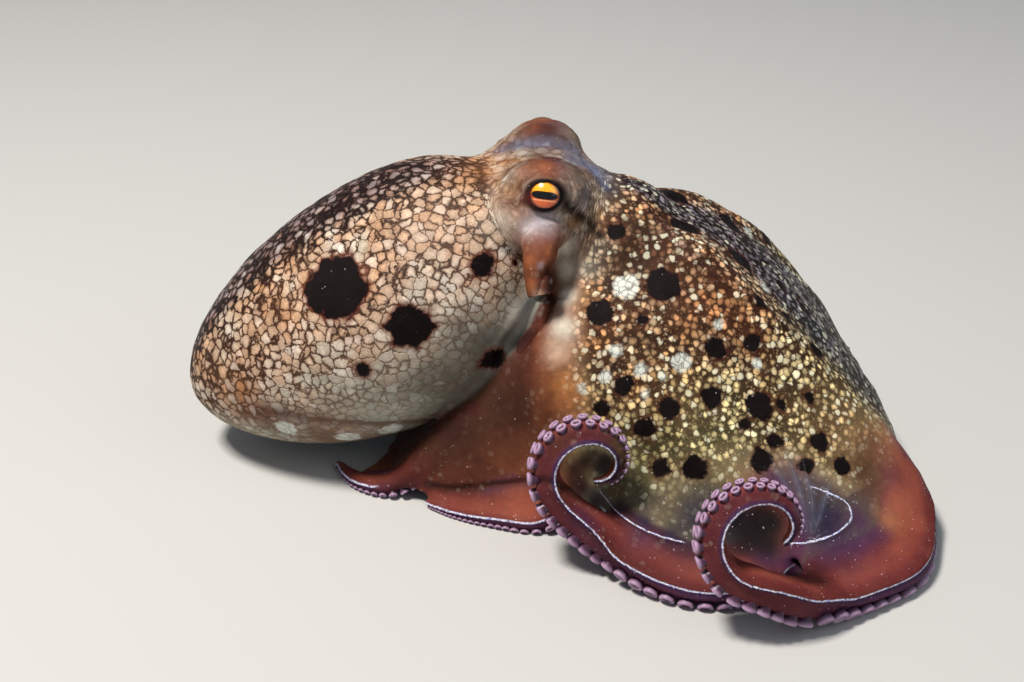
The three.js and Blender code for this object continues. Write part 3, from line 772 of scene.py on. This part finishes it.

# paints laid one by one: place and radius in the picture, paint, strength, and how much pattern they hide
# On the funnel, the small lavender dab down its middle is a painted highlight and the umber dab on its right
# side is painted shade; the brick and amber dabs on the first arm's crest low down are painted highlights.
# Some dabs paint light and shade, not the skin's own colour. The ink, cocoa and plum dabs inside the two
# curls, and the navy dabs in the pockets under the curls and along the webs' lower edges, are painted
# shadow.
# The shade dabs are painted shade; the umber and cocoa dabs low on the mantle and over the arms beneath it
# are partly the skin's own dark brown and partly painted shade.
dabs = [
    (230, 392, 34, "ochre", 0.6), (350, 395, 60, "sage", 0.4), (440, 230, 50, "peach", 0.5),
    (300, 300, 44, "amber", 0.3), (470, 175, 26, "amber", 0.4), (430, 330, 50, "bone", 0.5),
    (524, 306, 12, "slate", 0.5, 0.8), (505, 335, 16, "grey", 0.7, 0.6), (470, 345, 30, "grey", 0.7, 0.2),
    (430, 385, 40, "grey", 0.6), (505, 285, 16, "grey", 0.5), (330, 432, 40, "rust", 0.6, 0.2),
    (250, 405, 30, "rust", 0.6), (420, 432, 30, "umber", 0.6, 0.2), (545, 165, 20, "rust", 0.6, 0.1),
    (545, 172, 12, "rust", 0.5, 0.1), (580, 176, 13, "grey", 0.8, 0.4), (585, 196, 13, "slate", 0.6, 0.3),
    (606, 186, 16, "navy", 0.7, 0.2), (495, 225, 20, "bone", 0.7), (486, 172, 18, "amber", 0.5),
    (542, 221, 17, "lavender", 0.75, 0.5), (527, 228, 9, "pearl", 0.4, 0.4), (529, 262, 8, "rust", 1, 0.9),
    (531, 285, 8, "rust", 1, 0.9), (541, 266, 4, "lavender", 0.4, 0.9), (549, 250, 7, "rust", 0.8, 0.9),
    (550, 268, 6, "umber", 0.9, 0.9), (540, 296, 7, "peach", 0.9, 0.9), (564, 248, 12, "bone", 0.9, 0.8),
    (567, 270, 12, "bone", 1, 0.8), (566, 295, 13, "bone", 1, 0.8), (564, 328, 15, "bone", 0.9, 0.8),
    (558, 352, 14, "peach", 0.9, 0.7), (590, 268, 14, "sage", 0.7, 0.3), (600, 245, 13, "sage", 0.5, 0.1),
    (592, 300, 14, "sand", 0.6, 0.3), (566, 385, 18, "amber", 0.6, 0.3), (575, 410, 22, "brick", 0.5, 0.2),
    (556, 440, 24, "umber", 0.5, 0.6), (580, 460, 14, "moss", 0.5, 0.4), (640, 250, 30, "umber", 0.4),
    (660, 245, 16, "rust", 0.7), (700, 300, 30, "rust", 0.45), (740, 330, 30, "rust", 0.4),
    (650, 350, 50, "ochre", 0.3), (700, 430, 44, "straw", 0.35), (640, 450, 34, "moss", 0.3),
    (720, 480, 36, "olive", 0.25), (785, 470, 30, "plum", 0.5, 0.3), (700, 525, 46, "navy", 0.85, 0.6),
    (620, 470, 26, "ink", 0.7, 0.5), (606, 462, 13, "ink", 0.9, 0.9), (830, 420, 40, "rust", 0.4, 0.2),
    (870, 450, 36, "rust", 0.6, 0.6), (896, 500, 20, "brick", 0.8, 0.9), (828, 518, 24, "navy", 0.9, 0.8),
    (752, 535, 18, "ink", 0.9, 0.9), (770, 560, 16, "maroon", 0.8, 0.9), (760, 515, 14, "ink", 0.9, 0.9),
    (835, 548, 30, "plum", 0.8, 0.9), (800, 575, 20, "maroon", 0.7, 0.9), (640, 500, 22, "navy", 0.7, 0.7),
    (888, 520, 16, "amber", 0.4, 0.9), (790, 300, 34, "slate", 0.4), (850, 380, 20, "navy", 0.6, 0.2),
    (490, 420, 70, "umber", 0.75, 0.9), (400, 470, 34, "maroon", 0.6, 0.9),
    (430, 445, 30, "umber", 0.6, 0.9), (520, 500, 22, "brick", 0.8, 0.9), (410, 455, 16, "rust", 0.5, 0.9),
    (541, 130, 36, "maroon", 1, 0.7), (541, 126, 30, "cocoa", 0.6, 0.3), (552, 121, 18, "plum", 0.5, 0.8),
    (533, 128, 9, "rust", 0.4, 0.6), (512, 146, 14, "umber", 0.6, 0.5), (575, 146, 16, "cocoa", 0.7, 0.7),
    (596, 170, 15, "slate", 0.8, 0.6), (612, 190, 15, "navy", 0.6, 0.2), (545, 160, 18, "umber", 0.4, 0.3),
    (525, 170, 12, "rust", 0.5, 0.2), (640, 250, 26, "cocoa", 0.6), (664, 240, 22, "cocoa", 0.4),
    # painted shade low on the mantle's front
    (470, 330, 32, "shade", 0.5), (495, 340, 20, "shade", 0.6, 0.3), (450, 380, 34, "shade", 0.4),
    # umber along the mantle's lower edge: partly its own brown and partly painted shade
    (320, 436, 30, "umber", 0.7, 0.3), (270, 422, 24, "umber", 0.6, 0.1), (380, 436, 26, "umber", 0.6, 0.3),
    (836, 345, 24, "navy", 0.6, 0.2), (868, 395, 24, "navy", 0.5, 0.2), (800, 285, 22, "slate", 0.4),
    (862, 470, 20, "umber", 0.6, 0.4), (870, 440, 18, "umber", 0.5, 0.3), (585, 462, 15, "cocoa", 1, 1),
    (575, 482, 13, "maroon", 0.9, 1), (600, 470, 13, "ink", 1, 1), (592, 452, 10, "ink", 0.9, 1),
    (735, 520, 16, "ink", 1, 1), (745, 545, 14, "cocoa", 1, 1), (765, 556, 14, "plum", 0.9, 1),
    (790, 562, 16, "plum", 0.8, 1), (815, 565, 16, "maroon", 0.7, 1), (845, 562, 16, "maroon", 0.5, 0.9),
    (825, 530, 18, "navy", 0.7, 0.8), (858, 520, 16, "plum", 0.7, 0.8), (740, 565, 12, "maroon", 0.9, 1),
    (572, 157, 13, "slate", 0.8, 0.2), (588, 172, 13, "navy", 0.5, 0.2), (545, 152, 14, "umber", 0.5),
    (575, 470, 14, "cocoa", 1, 1), (580, 486, 12, "cocoa", 1, 1), (592, 497, 10, "navy", 0.8, 1),
    (620, 505, 12, "navy", 0.8, 0.9), (645, 520, 13, "navy", 0.8, 0.9), (672, 532, 13, "navy", 0.8, 0.9),
    (690, 515, 24, "navy", 0.6, 0.5), (655, 498, 18, "navy", 0.5, 0.4), (645, 462, 24, "moss", 0.6),
    (622, 442, 16, "moss", 0.5), (640, 250, 34, "umber", 0.6, 0.2), (862, 470, 26, "umber", 0.8, 0.6),
    # ink inside the two curls: painted shadow
    (606, 462, 22, "ink", 1, 1), (620, 480, 20, "ink", 0.8, 0.8), (752, 530, 24, "ink", 1, 1),
    (772, 522, 20, "ink", 1, 1), (784, 545, 18, "ink", 0.8, 1), (768, 545, 16, "ink", 0.9, 1),
    (505, 400, 46, "cocoa", 0.8, 0.9), (455, 430, 34, "cocoa", 0.7, 0.9), (405, 472, 24, "maroon", 0.7, 0.9),
    (575, 400, 18, "amber", 0.4, 0.5), (620, 560, 24, "maroon", 0.6, 0.9),
    (655, 588, 24, "maroon", 0.6, 0.9), (585, 520, 18, "plum", 0.6, 0.9), (700, 500, 30, "navy", 0.7, 0.8),
    (545, 166, 13, "rust", 0.7, 0.4), (640, 540, 18, "plum", 0.5, 0.9)]
for px, py, r, tone, strength, *hides in dabs:
    centres, size = bothSides(px, py, r)
    for centre in centres:
        amount = strength * np.exp(-1.1 * ((points - centre) ** 2).sum(1) / size ** 2)
        cells = over(cells, tone, amount)
        nets = mix(nets, tones[tone] * 0.4, amount[:, None] * 0.5)
        netAmount = netAmount * (1 - sum(hides) * amount)

# Inside the mantle's opening the skin is maroon, darkened with ink towards its deepest line as painted
# shade; the groove along the web's edge below the mantle is painted cocoa with ink nets, a painted shade.
deep, inGroove = fold["inOpening"], along("groove", 1.5)
cells = over(cells, "maroon", deep, "ink", deep ** 2 * 0.8, "maroon", along("belly", 2.6) * 0.75,
             "slate", along("sulcus", 2.6) * 0.8, "plum", along("crest", 1.6) * 0.5)
for _, away, share in fold["fan"]:
    cells = over(cells, "slate", bell(away, 0.9) * np.sin(np.pi * share) * 0.4)
lidDark = rise(aroundEye, 0.5, 0.95) * (1 - rise(aroundEye, 1.15, 1.5 + 0.12 * np.sin(lidAngle * 3)))
cells = over(cells, "cocoa", inGroove * 0.85, "ink", lidDark)
nets = over(nets, "ink", deep, "ink", inGroove, "ink", lidDark)
netAmount = netAmount * (1 - lidDark)
streaks = [([(562, 200), (574, 210), (588, 222), (600, 236)], "ink", 2.0),
           ([(532, 198), (520, 201), (506, 205)], "maroon", 2.6)]  # before and behind each eye, and how wide
for pixels, tone, width in streaks:
    drawn = stroke(pixels)
    for there in (drawn, drawn * vec(1, -1, 1) + vec(0, 2 * midY, 0)):
        _, away, share = acrossStroke(points, normals, there)
        amount = bell(away, width * (1.1 - 0.5 * share)) * 0.9
        cells, nets = over(cells, tone, amount), over(nets, tone, amount)

# dark and white spots: place and radius in the picture
spots = dict(
    dark=[(335, 287, 29), (410, 326, 21), (483, 265, 11), (492, 358, 12), (362, 370, 7), (515, 263, 3),
          (600, 312, 13), (663, 286, 17), (684, 226, 15), (741, 260, 14), (616, 231, 9), (624, 385, 9),
          (601, 409, 8), (644, 428, 11), (670, 409, 11), (715, 349, 11), (712, 397, 11), (760, 406, 14),
          (752, 342, 9), (744, 424, 6), (781, 404, 6), (809, 399, 6), (775, 440, 8), (819, 443, 10),
          (761, 461, 11), (695, 468, 12), (660, 468, 9), (841, 466, 9), (808, 466, 8), (642, 320, 6),
          (767, 239, 8), (781, 286, 7), (804, 309, 8), (760, 302, 8), (815, 349, 8)],
    white=[(625, 286, 12), (616, 351, 6), (605, 377, 6), (582, 389, 5), (641, 370, 6), (682, 362, 9),
           (645, 394, 4), (663, 376, 4), (757, 364, 5), (718, 325, 5), (749, 231, 6), (287, 428, 10),
           (348, 437, 12), (390, 430, 12)])


def spotField(kind):  # how far inside a spot each point is, in millimetres
    field = np.full(n, -9.0)
    wobble = 1 + 0.2 * softNoise(points, 3.0, 4.0)
    for px, py, r in spots[kind]:
        centres, size = bothSides(px, py, r)
        for centre in centres:
            field = np.maximum(field, 1.1 * size - np.linalg.norm(points - centre, axis=1) * wobble)
    return field


dark, white = spotField("dark"), spotField("white")
# how many white specks, which are painted glints, each part gets: most on the arms, the head and the top of
# the mantle
specks = 0.25 + 0.5 * band + 0.4 * headShare + mix(0.3 * rise(reach, 0.6, 1), 0.5 * rise(lift, 0.6, 0.9), m)
keelPaint = keelLine * (1 - rise(np.abs(where["y"]), 1.5, 2.5))
creaseAt, creaseAmount = np.full(n, 5.0), np.zeros(n)
for strength, (signed, away, share) in zip([1, 1] + [0.05] * 4, fold["webEdges"] + fold["fan"]):
    closer = away < np.abs(creaseAt)
    creaseAt = np.where(closer, signed, creaseAt)
    fading = (1 - rise(away, 1.2, 2.2)) * rise(np.sin(np.pi * share), 0, 0.15)
    creaseAmount = np.where(closer, strength * fading, creaseAmount)
polygons = np.clip(m + headShare * rise(farFrom(points, (40, midY, 84), (1, 1.4, 1)), 18, 26), 0, 1)
flow = points / 3.5 * polygons[:, None] + points / vec(2.15, 2.15, 2.4) * (1 - polygons)[:, None]


def putAttribute(mesh, name, values):
    kinds = {1: ("FLOAT", "value"), 3: ("FLOAT_VECTOR", "vector"), 4: ("FLOAT_COLOR", "color")}
    kind, key = kinds[values.size // len(values)]
    mesh.attributes.new(name, kind, "POINT").data.foreach_set(key, values.astype(np.float32).ravel())


fields = dict(
    cells=(cells, netWidth), nets=(nets, netAmount), marks=(dark, white, specks * outward),
    polygons=(polygons,), flow=(flow,), keel=(where["y"], keelPaint, creaseAt), crease=(creaseAmount,))
for name, columns in fields.items():
    putAttribute(skinMesh, name, np.column_stack(columns))


def placed(mesh, slot, finish, *nodes):
    made = inScene(mesh.name, mesh)
    mesh.materials.append(finish)
    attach(made, "root")
    if nodes:
        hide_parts(*nodes)


# finishes

class Finish:  # a node material, built line by line
    def __init__(self, name, **settings):
        self.material = bpy.data.materials.new(name)
        self.material.use_nodes = True
        self.tree = self.material.node_tree
        self.shader = self.tree.nodes["Principled BSDF"]
        for key, value in settings.items():
            self.shader.inputs[key.replace("_", " ")].default_value = value

    def put(self, socket, value):
        if isinstance(value, bpy.types.NodeSocket):
            self.tree.links.new(value, socket)
        elif value is not None:
            socket.default_value = value

    def add(self, kind, inputs=(), **settings):
        made = self.tree.nodes.new("ShaderNode" + kind)
        for key, value in settings.items():
            setattr(made, key, value)
        for key, value in dict(inputs).items():
            self.put(made.inputs[key], value)
        return made

    def math(self, operation, a, b=None, c=None):
        return self.add("Math", {0: a, 1: b, 2: c}, operation=operation).outputs[0]

    def times(self, *values):
        made = values[0]
        for value in values[1:]:
            made = self.math("MULTIPLY", made, value)
        return made

    def shifted(self, noise, amount, value):  # value plus a noise about its middle
        return self.math("MULTIPLY_ADD", self.math("SUBTRACT", noise, 0.5), amount, value)

    def step(self, value, low, high, first=0.0, last=1.0):
        return self.add("MapRange", {0: value, 1: low, 2: high, 3: first, 4: last},
                        interpolation_type="SMOOTHSTEP").outputs[0]

    def fall(self, value, low, high):
        return self.step(value, low, high, 1.0, 0.0)

    def noise(self, vector, size, detail=2.0, rough=0.5):
        return self.add("TexNoise", {"Vector": vector, "Scale": 1 / size, "Detail": detail,
                                     "Roughness": rough}).outputs["Fac"]

    def voronoi(self, vector, size, feature="F1", random=1.0):
        return self.add("TexVoronoi", {"Vector": vector, "Scale": 1 / size, "Randomness": random},
                        feature=feature).outputs

    def blend(self, a, b, share, kind="MIX"):
        made = self.add("Mix", data_type="RGBA", blend_type=kind)
        self.put(made.inputs[0], share)
        for socket, value in ((made.inputs[6], a), (made.inputs[7], b)):
            self.put(socket, (*value[:3], 1) if isinstance(value, (tuple, np.ndarray)) else value)
        return made.outputs[2]

    def laid(self, tone, *coats):  # coats over a tone: each one's colour, then its share
        for colour, share in zip(coats[::2], coats[1::2]):
            tone = self.blend(tone, colour, share)
        return tone

    def level(self, tone, amount):  # a colour made lighter or darker
        grey = self.add("CombineColor", dict.fromkeys(range(3), amount)).outputs[0]
        return self.blend(tone, grey, 1.0, "MULTIPLY")

    def field(self, name, output="Vector"):
        return self.add("Attribute", attribute_name=name).outputs[output]

    def parts(self, vector):
        return self.add("SeparateXYZ", {0: vector}).outputs

    def place(self):  # the object's own place, in millimetres
        return self.add("VectorMath", {0: self.add("TexCoord").outputs["Object"], "Scale": 1000.0},
                        operation="SCALE").outputs[0]

    def coloured(self, tone, rough, height, strength, depth):
        self.put(self.shader.inputs["Base Color"], tone)
        self.put(self.shader.inputs["Roughness"], rough)
        bump = self.add("Bump", {"Height": height, "Strength": strength, "Distance": depth * mm})
        self.put(self.shader.inputs["Normal"], bump.outputs[0])
        return self.material


hide = dict(  # sizes of its grain, in millimetres, and what is painted by the pattern alone
    grain=0.5, cloud=2.2, clump=5.5, glintSpecks=1.4, wet=0.32, keelBreaks=1.1,
    chalk=(238, 236, 228), clay=(186, 124, 74), bark=(150, 92, 54), cream=(236, 234, 206),
    halo=(92, 38, 24), spot=(4, 2, 2), spotCloud=(20, 7, 7), whiteSpot=(214, 218, 208),
    keelUnder=(40, 32, 74), keel=(230, 226, 236), keelBlueGlint=(120, 138, 200), speck=(236, 228, 228))


def skinFinish():
    f = Finish("octopus_skin", Coat_Weight=0.12, Coat_Roughness=0.14, IOR=1.38, Specular_IOR_Level=0.06)
    ink = {name: paint(*value) for name, value in hide.items() if isinstance(value, tuple)}
    here, flow, polygons = f.place(), f.field("flow"), f.field("polygons", "Fac")
    cellTone, netTone = f.field("cells", "Color"), f.field("nets", "Color")
    netWidth, netAmount = f.field("cells", "Alpha"), f.field("nets", "Alpha")
    darkMark, whiteMark, speckMark = f.parts(f.field("marks"))
    keelY, keelAmount, creaseX = f.parts(f.field("keel"))
    bent = flow
    for scale, detail, amount in ((1.2, 1.0, 0.6), (4.5, 2.0, 0.24)):
        wobble = f.add("TexNoise", {"Vector": flow, "Scale": scale, "Detail": detail}).outputs["Color"]
        moved = f.add("VectorMath", {0: wobble, 1: (amount,) * 3, 2: bent}, operation="MULTIPLY_ADD")
        bent = moved.outputs[0]
    cell, second = f.voronoi(bent, 1.0), f.voronoi(bent, 1.0, "F2")
    first, gap = cell["Distance"], f.math("SUBTRACT", second["Distance"], cell["Distance"])
    chanceA, chanceB, chanceC = f.parts(cell["Color"])
    grain, cloud, clump = (f.noise(here, hide[name], 3.0, 0.6) for name in ("grain", "cloud", "clump"))
    # the net of the mantle: thin lines that swell into clumps
    ragged = f.shifted(grain, 0.16, gap)
    width = f.times(netWidth, f.step(clump, 0.3, 0.72, 0.45, 2.3), f.shifted(chanceA, 0.6, 1.0))
    fine = f.voronoi(bent, 0.33, "DISTANCE_TO_EDGE")[0]
    tile = f.laid(cellTone, netTone, f.step(fine, 0.02, 0.14, 0.28, 0.0),
                  ink["chalk"], f.step(chanceB, 0.6, 0.95, 0.0, 0.25),
                  ink["clay"], f.step(chanceC, 0.65, 0.95, 0.0, 0.2))
    swell = f.step(first, 0.05, 0.5, 1.12, 0.86)
    tile = f.level(tile, f.times(swell, f.shifted(chanceA, 0.3, 1.0), f.shifted(grain, 0.4, 1.0)))
    fringe = f.step(ragged, f.times(width, 0.6), f.times(width, 2.4), 0.55, 0.0)
    tile = f.laid(tile, f.blend(netTone, ink["bark"], 0.45), fringe,
                  netTone, f.fall(ragged, f.times(width, 0.3), f.times(width, 1.3)))
    # the dots of the webs: round and pale on a dark ground
    reach = f.math("MULTIPLY_ADD", chanceB, 0.26, 0.4)
    rounded = f.math("DIVIDE", f.shifted(grain, 0.1, first), reach)
    dotted = f.times(f.fall(rounded, 0.6, 1.15), f.step(gap, 0.0, 0.14, 0.15, 1.0),
                     f.step(clump, 0.32, 0.46, 0.35, 1.0))
    small = f.voronoi(bent, 0.45)
    smallDot = f.times(f.step(small["Distance"], 0.12, 0.4, 0.7, 0.0),
                       f.step(f.parts(small["Color"])[0], 0.35, 0.6))
    # each dot's own random lightness, with a painted highlight that lightens its middle
    dotToneAndHighlight = f.times(f.math("MULTIPLY_ADD", f.math("POWER", chanceA, 2.0), 1.3, 0.6),
                   f.step(rounded, 0.0, 0.9, 1.4, 0.75))
    pearl = f.blend(f.level(cellTone, dotToneAndHighlight), ink["cream"], f.step(chanceC, 0.6, 0.95, 0.0, 0.6))
    ground = f.level(netTone, f.shifted(cloud, 1.2, 0.7))
    web = f.laid(ground, f.level(cellTone, 0.6), smallDot, pearl, dotted)
    even = f.level(cellTone, f.times(f.shifted(grain, 0.35, 1.0), f.shifted(cloud, 0.5, 1.0)))
    # spots with ragged borders and a reddish fringe
    spotEdge = f.shifted(chanceA, 0.8, f.shifted(cloud, 2.6, f.shifted(grain, 1.6, darkMark)))
    halo = f.times(f.step(spotEdge, -2.2, 0.5, 0.0, 0.9), f.math("MULTIPLY_ADD", polygons, 0.6, 0.4))
    pale = f.step(f.shifted(cloud, 2.5, whiteMark), -0.8, 1.0, 0.0, 0.85)
    # keels: a pale broken line along the edges of the free arms and of the web, partly the skin's pale edge
    # and partly a painted highlight where the edge catches the light, with patches of painted bluish glint
    wander = f.math("ABSOLUTE", f.shifted(cloud, 0.5, keelY))
    broken = f.step(f.noise(here, hide["keelBreaks"], 2.0, 0.7), 0.34, 0.5, 0.25, 1.0)
    rim = f.fall(f.math("ABSOLUTE", f.shifted(cloud, 0.5, creaseX)), 0.05, 0.24)
    edge = f.times(f.fall(wander, 0.12, 0.4), keelAmount)
    edge = f.math("MAXIMUM", edge, f.times(rim, f.field("crease", "Fac")))
    under = f.times(f.step(f.math("ABSOLUTE", f.math("ADD", keelY, 0.75)), 0.2, 0.7, 0.75, 0.0), keelAmount)
    # tiny white specks: painted glints
    glintSpecks = f.voronoi(here, hide["glintSpecks"])
    speckOn = f.step(f.parts(glintSpecks["Color"])[1], f.math("SUBTRACT", 1.0, f.times(speckMark, 0.6)), 1.0)
    tone = f.laid(
        even, f.blend(web, tile, polygons), netAmount, ink["halo"], halo,
        f.blend(ink["spot"], ink["spotCloud"], cloud), f.step(spotEdge, -0.4, 0.7),
        ink["whiteSpot"], f.times(pale, f.step(gap, 0.02, 0.14, 0.35, 1.0)),
        ink["keelUnder"], f.times(under, 0.8),
        f.blend(ink["keel"], ink["keelBlueGlint"], f.step(grain, 0.45, 0.62)), f.times(edge, broken),
        ink["speck"], f.times(f.fall(glintSpecks["Distance"], 0.06, 0.14), speckOn))
    height = f.times(f.step(gap, 0.0, 0.3), netAmount, f.step(darkMark, -1.0, 0.5, 0.35, 0.0))
    height = f.math("ADD", height, f.math("ADD", f.times(grain, 0.5), f.times(cloud, 0.5)))
    ripple = f.noise(here, hide["wet"], 3.0, 0.7)
    wet = f.add("Bump", {"Height": ripple, "Strength": 0.9, "Distance": 0.35 * mm})
    f.put(f.shader.inputs["Coat Normal"], wet.outputs[0])
    return f.coloured(tone, f.step(cloud, 0.3, 0.7, 0.5, 0.7), height, 0.5, 0.45)


placed(skinMesh, "web_skin", skinFinish(), *[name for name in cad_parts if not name.startswith("eye")])


# eyes: a ball with a gold and orange iris and a bar for a pupil

iris = dict(radius=5.3, barHigh=1.25, barWide=4.1, barTilt=0.09)


def eyeFinish():
    f = Finish("octopus_eye", Coat_Weight=1.0, Coat_Roughness=0.03, IOR=1.38)
    a, b, c = f.parts(f.field("look"))
    b = f.math("MULTIPLY_ADD", a, -iris["barTilt"], b)
    far = f.math("SQRT", f.math("ADD", f.times(a, a), f.times(b, b)))
    turn = f.math("ARCTAN2", b, a)
    spun = f.add("CombineXYZ", {0: f.times(turn, 9.0), 1: f.times(far, 0.25)}).outputs[0]
    rays = f.noise(spun, 1.0, 3.0, 0.7)
    clouds = f.noise(f.field("look"), 1.6, 2.0)
    tone = f.blend(paint(222, 92, 26), paint(255, 172, 26), f.step(f.shifted(clouds, 1.6, b), -0.6, 2.0))
    # a pale line just under the pupil's bar: a painted highlight
    under = f.math("ABSOLUTE", f.math("ADD", b, iris["barHigh"] + 0.35))
    ends = f.math("POWER", f.math("DIVIDE", f.math("ABSOLUTE", a), iris["barWide"]), 4.0)
    flat = f.math("POWER", f.math("DIVIDE", f.math("ABSOLUTE", b), iris["barHigh"]), 2.0)
    tone = f.laid(
        f.level(tone, f.step(rays, 0.3, 0.7, 0.75, 1.2)),
        paint(70, 22, 10), f.step(far, iris["radius"] - 2.0, iris["radius"] - 0.5),
        paint(255, 214, 160), f.times(f.step(under, 0.05, 0.35, 0.45, 0.0), f.fall(far, 3.4, 4.4)),
        paint(6, 5, 7), f.fall(f.math("ADD", flat, ends), 0.85, 1.15),
        paint(20, 10, 10), f.step(far, iris["radius"] - 0.5, iris["radius"]))
    return f.coloured(tone, 0.25, rays, 0.05, 0.1)


eyePaint = eyeFinish()
for name, sign in (("eye_right", -1), ("eye_left", 1)):
    centre, forward, up, gaze = eyeFrame(sign)
    tilt = np.linspace(0.01, np.pi - 0.01, 72)
    turn = np.linspace(0, 2 * np.pi, 96, endpoint=False) * (-sign)
    spokes = [np.outer(np.sin(tilt), np.cos(turn)), np.outer(np.sin(tilt), np.sin(turn))]
    local = np.stack([*spokes, np.outer(np.cos(tilt), np.ones(96))], -1)
    rings = centre + eye["radius"] * local @ np.stack([forward, up, gaze])
    ballPoints, ballFaces = lofted(rings[::-1])
    ball = meshOf(name + "ball", ballPoints + layoutShift, ballFaces, mm)
    ball.polygons.foreach_set("use_smooth", np.ones(len(ballFaces), bool))
    off = ballPoints - centre
    putAttribute(ball, "look", np.column_stack([dot(off, forward), dot(off, up), dot(off, gaze)]))
    placed(ball, "eye", eyePaint, name)

# suckers: two rows of cups on every arm

cup = dict(size=0.33, smallest=0.5, gap=1.9, sides=16,
           profile=[(0.7, -0.9), (0.76, -0.2), (0.86, 0.3), (0.98, 0.62), (0.98, 0.82), (0.82, 0.95),
                    (0.6, 0.86), (0.42, 0.5), (0.15, 0.36)])
cupAcross, cupUp = np.array(cup["profile"]).T
cupTurn = np.linspace(0, 2 * np.pi, cup["sides"], endpoint=False)
cupPoints, cupFaces, cupRim, start = [], [], [], 0
for arm in arms.values():
    total, s = arm["total"], 0.45 * arm["webEnd"]
    row = 1
    while s < 0.985:
        halfWidth, depth = (np.interp(s, arm["t"], arm[key]) for key in ("halfWidth", "depth"))
        place, ahead, crest, side = (at(arm, key, s) for key in ("place", "ahead", "crest", "side"))
        radius = max(cup["size"] * halfWidth, cup["smallest"])
        lying = (1 - rise(place[2], 8.0, 12.0)) * rise(s, arm["webEnd"] - 0.05, arm["webEnd"] + 0.05)
        seat = place + side * row * mix(0.42, 0.7, lying) * halfWidth - crest * mix(0.55, 0.3, lying) * depth
        out = unit(side * row * mix(0.1, 1.8, lying) - crest)
        s += cup["gap"] * radius / total / 2
        row = -row
        if seat[2] < 0.45 * radius + 0.2 or np.linalg.norm(seat - vec(*seam["place"])) < seam["bare"]:
            continue
        ahead = unit(ahead - out * dot(ahead, out))
        aside = np.cross(out, ahead)
        spin = np.outer(np.cos(cupTurn), ahead) + np.outer(np.sin(cupTurn), aside)
        swell = 1 + 0.06 * rng.random()
        rings = seat + radius * swell * (cupAcross[:, None, None] * spin[None] + cupUp[:, None, None] * out)
        these, theirFaces = lofted(rings)
        these[:, 2] = np.maximum(these[:, 2], lowest)
        cupPoints.append(these)
        cupFaces += [[i + start for i in face] for face in theirFaces]
        cupRim.append(np.concatenate([np.repeat(cupUp * (cupAcross > 0.5), cup["sides"]), [-0.7, -0.4]]))
        start += len(these)
print("suckers:", len(cupPoints))


def cupFinish():
    f = Finish("sucker_skin", Coat_Weight=0.2, Coat_Roughness=0.2, IOR=1.38, Subsurface_Weight=0.1)
    f.shader.inputs["Subsurface Radius"].default_value = (0.002, 0.001, 0.0008)
    here = f.place()
    grain = f.noise(here, 0.5, 3.0, 0.6)
    rim = f.step(f.shifted(grain, 0.2, f.field("rim", "Fac")), 0.1, 0.8)
    tone = f.blend(paint(66, 34, 58), paint(166, 134, 162), rim)
    tone = f.level(tone, f.shifted(f.noise(here, 2.5), 0.5, 1.0))
    return f.coloured(tone, f.step(grain, 0.3, 0.7, 0.35, 0.5), grain, 0.3, 0.2)


cupMesh = meshOf("suckers", np.vstack(cupPoints) + layoutShift, cupFaces, mm)
cupMesh.polygons.foreach_set("use_smooth", np.ones(len(cupFaces), bool))
putAttribute(cupMesh, "rim", np.concatenate(cupRim))
placed(cupMesh, "arm_skin", cupFinish())

# camera

cameraData = bpy.data.cameras.new("camera")
cameraData.lens = sight["lens"]
camera = inScene("camera", cameraData)
camera.location = (sight["place"] + layoutShift) * mm
camera.rotation_euler = (math.radians(sight["tilt"]), 0, 0)
bpy.context.scene.camera = camera

# floor and light

floorMesh = bpy.data.meshes.new("floor")
floorMesh.from_pydata([(-3, -3, 0), (3, -3, 0), (3, 3, 0), (-3, 3, 0)], [], [(0, 1, 2, 3)])
floor = inScene("floor", floorMesh)
ground = Finish("floor_paper", Roughness=0.9)
ground.put(ground.shader.inputs["Base Color"], (0.5, 0.49, 0.47, 1))
floorMesh.materials.append(ground.material)

lamps = dict(  # places and aims in metres, sizes, watts
    key=dict(place=(-0.45, -0.25, 1.22), aim=(0, 0, 0.04), size=0.24, power=24, colour=(1.0, 0.96, 0.9)),
    fill=dict(place=(0.9, -0.5, 0.8), aim=(0, 0, 0.03), size=1.0, power=3, colour=(0.85, 0.93, 1.0)))
for name, lamp in lamps.items():
    data = bpy.data.lights.new(name, "AREA")
    data.size, data.energy, data.color = lamp["size"], lamp["power"], lamp["colour"]
    made = inScene(name, data)
    made.location = lamp["place"]
    made.rotation_euler = (Vector(lamp["aim"]) - Vector(lamp["place"])).to_track_quat("-Z", "Y").to_euler()
world = bpy.data.worlds.new("world")
world.use_nodes = True
sky = world.node_tree.nodes["Background"].inputs
sky["Color"].default_value = (0.75, 0.86, 1.0, 1)
sky["Strength"].default_value = 0.25
bpy.context.scene.world = world
bpy.context.scene.view_settings.view_transform = "Standard"
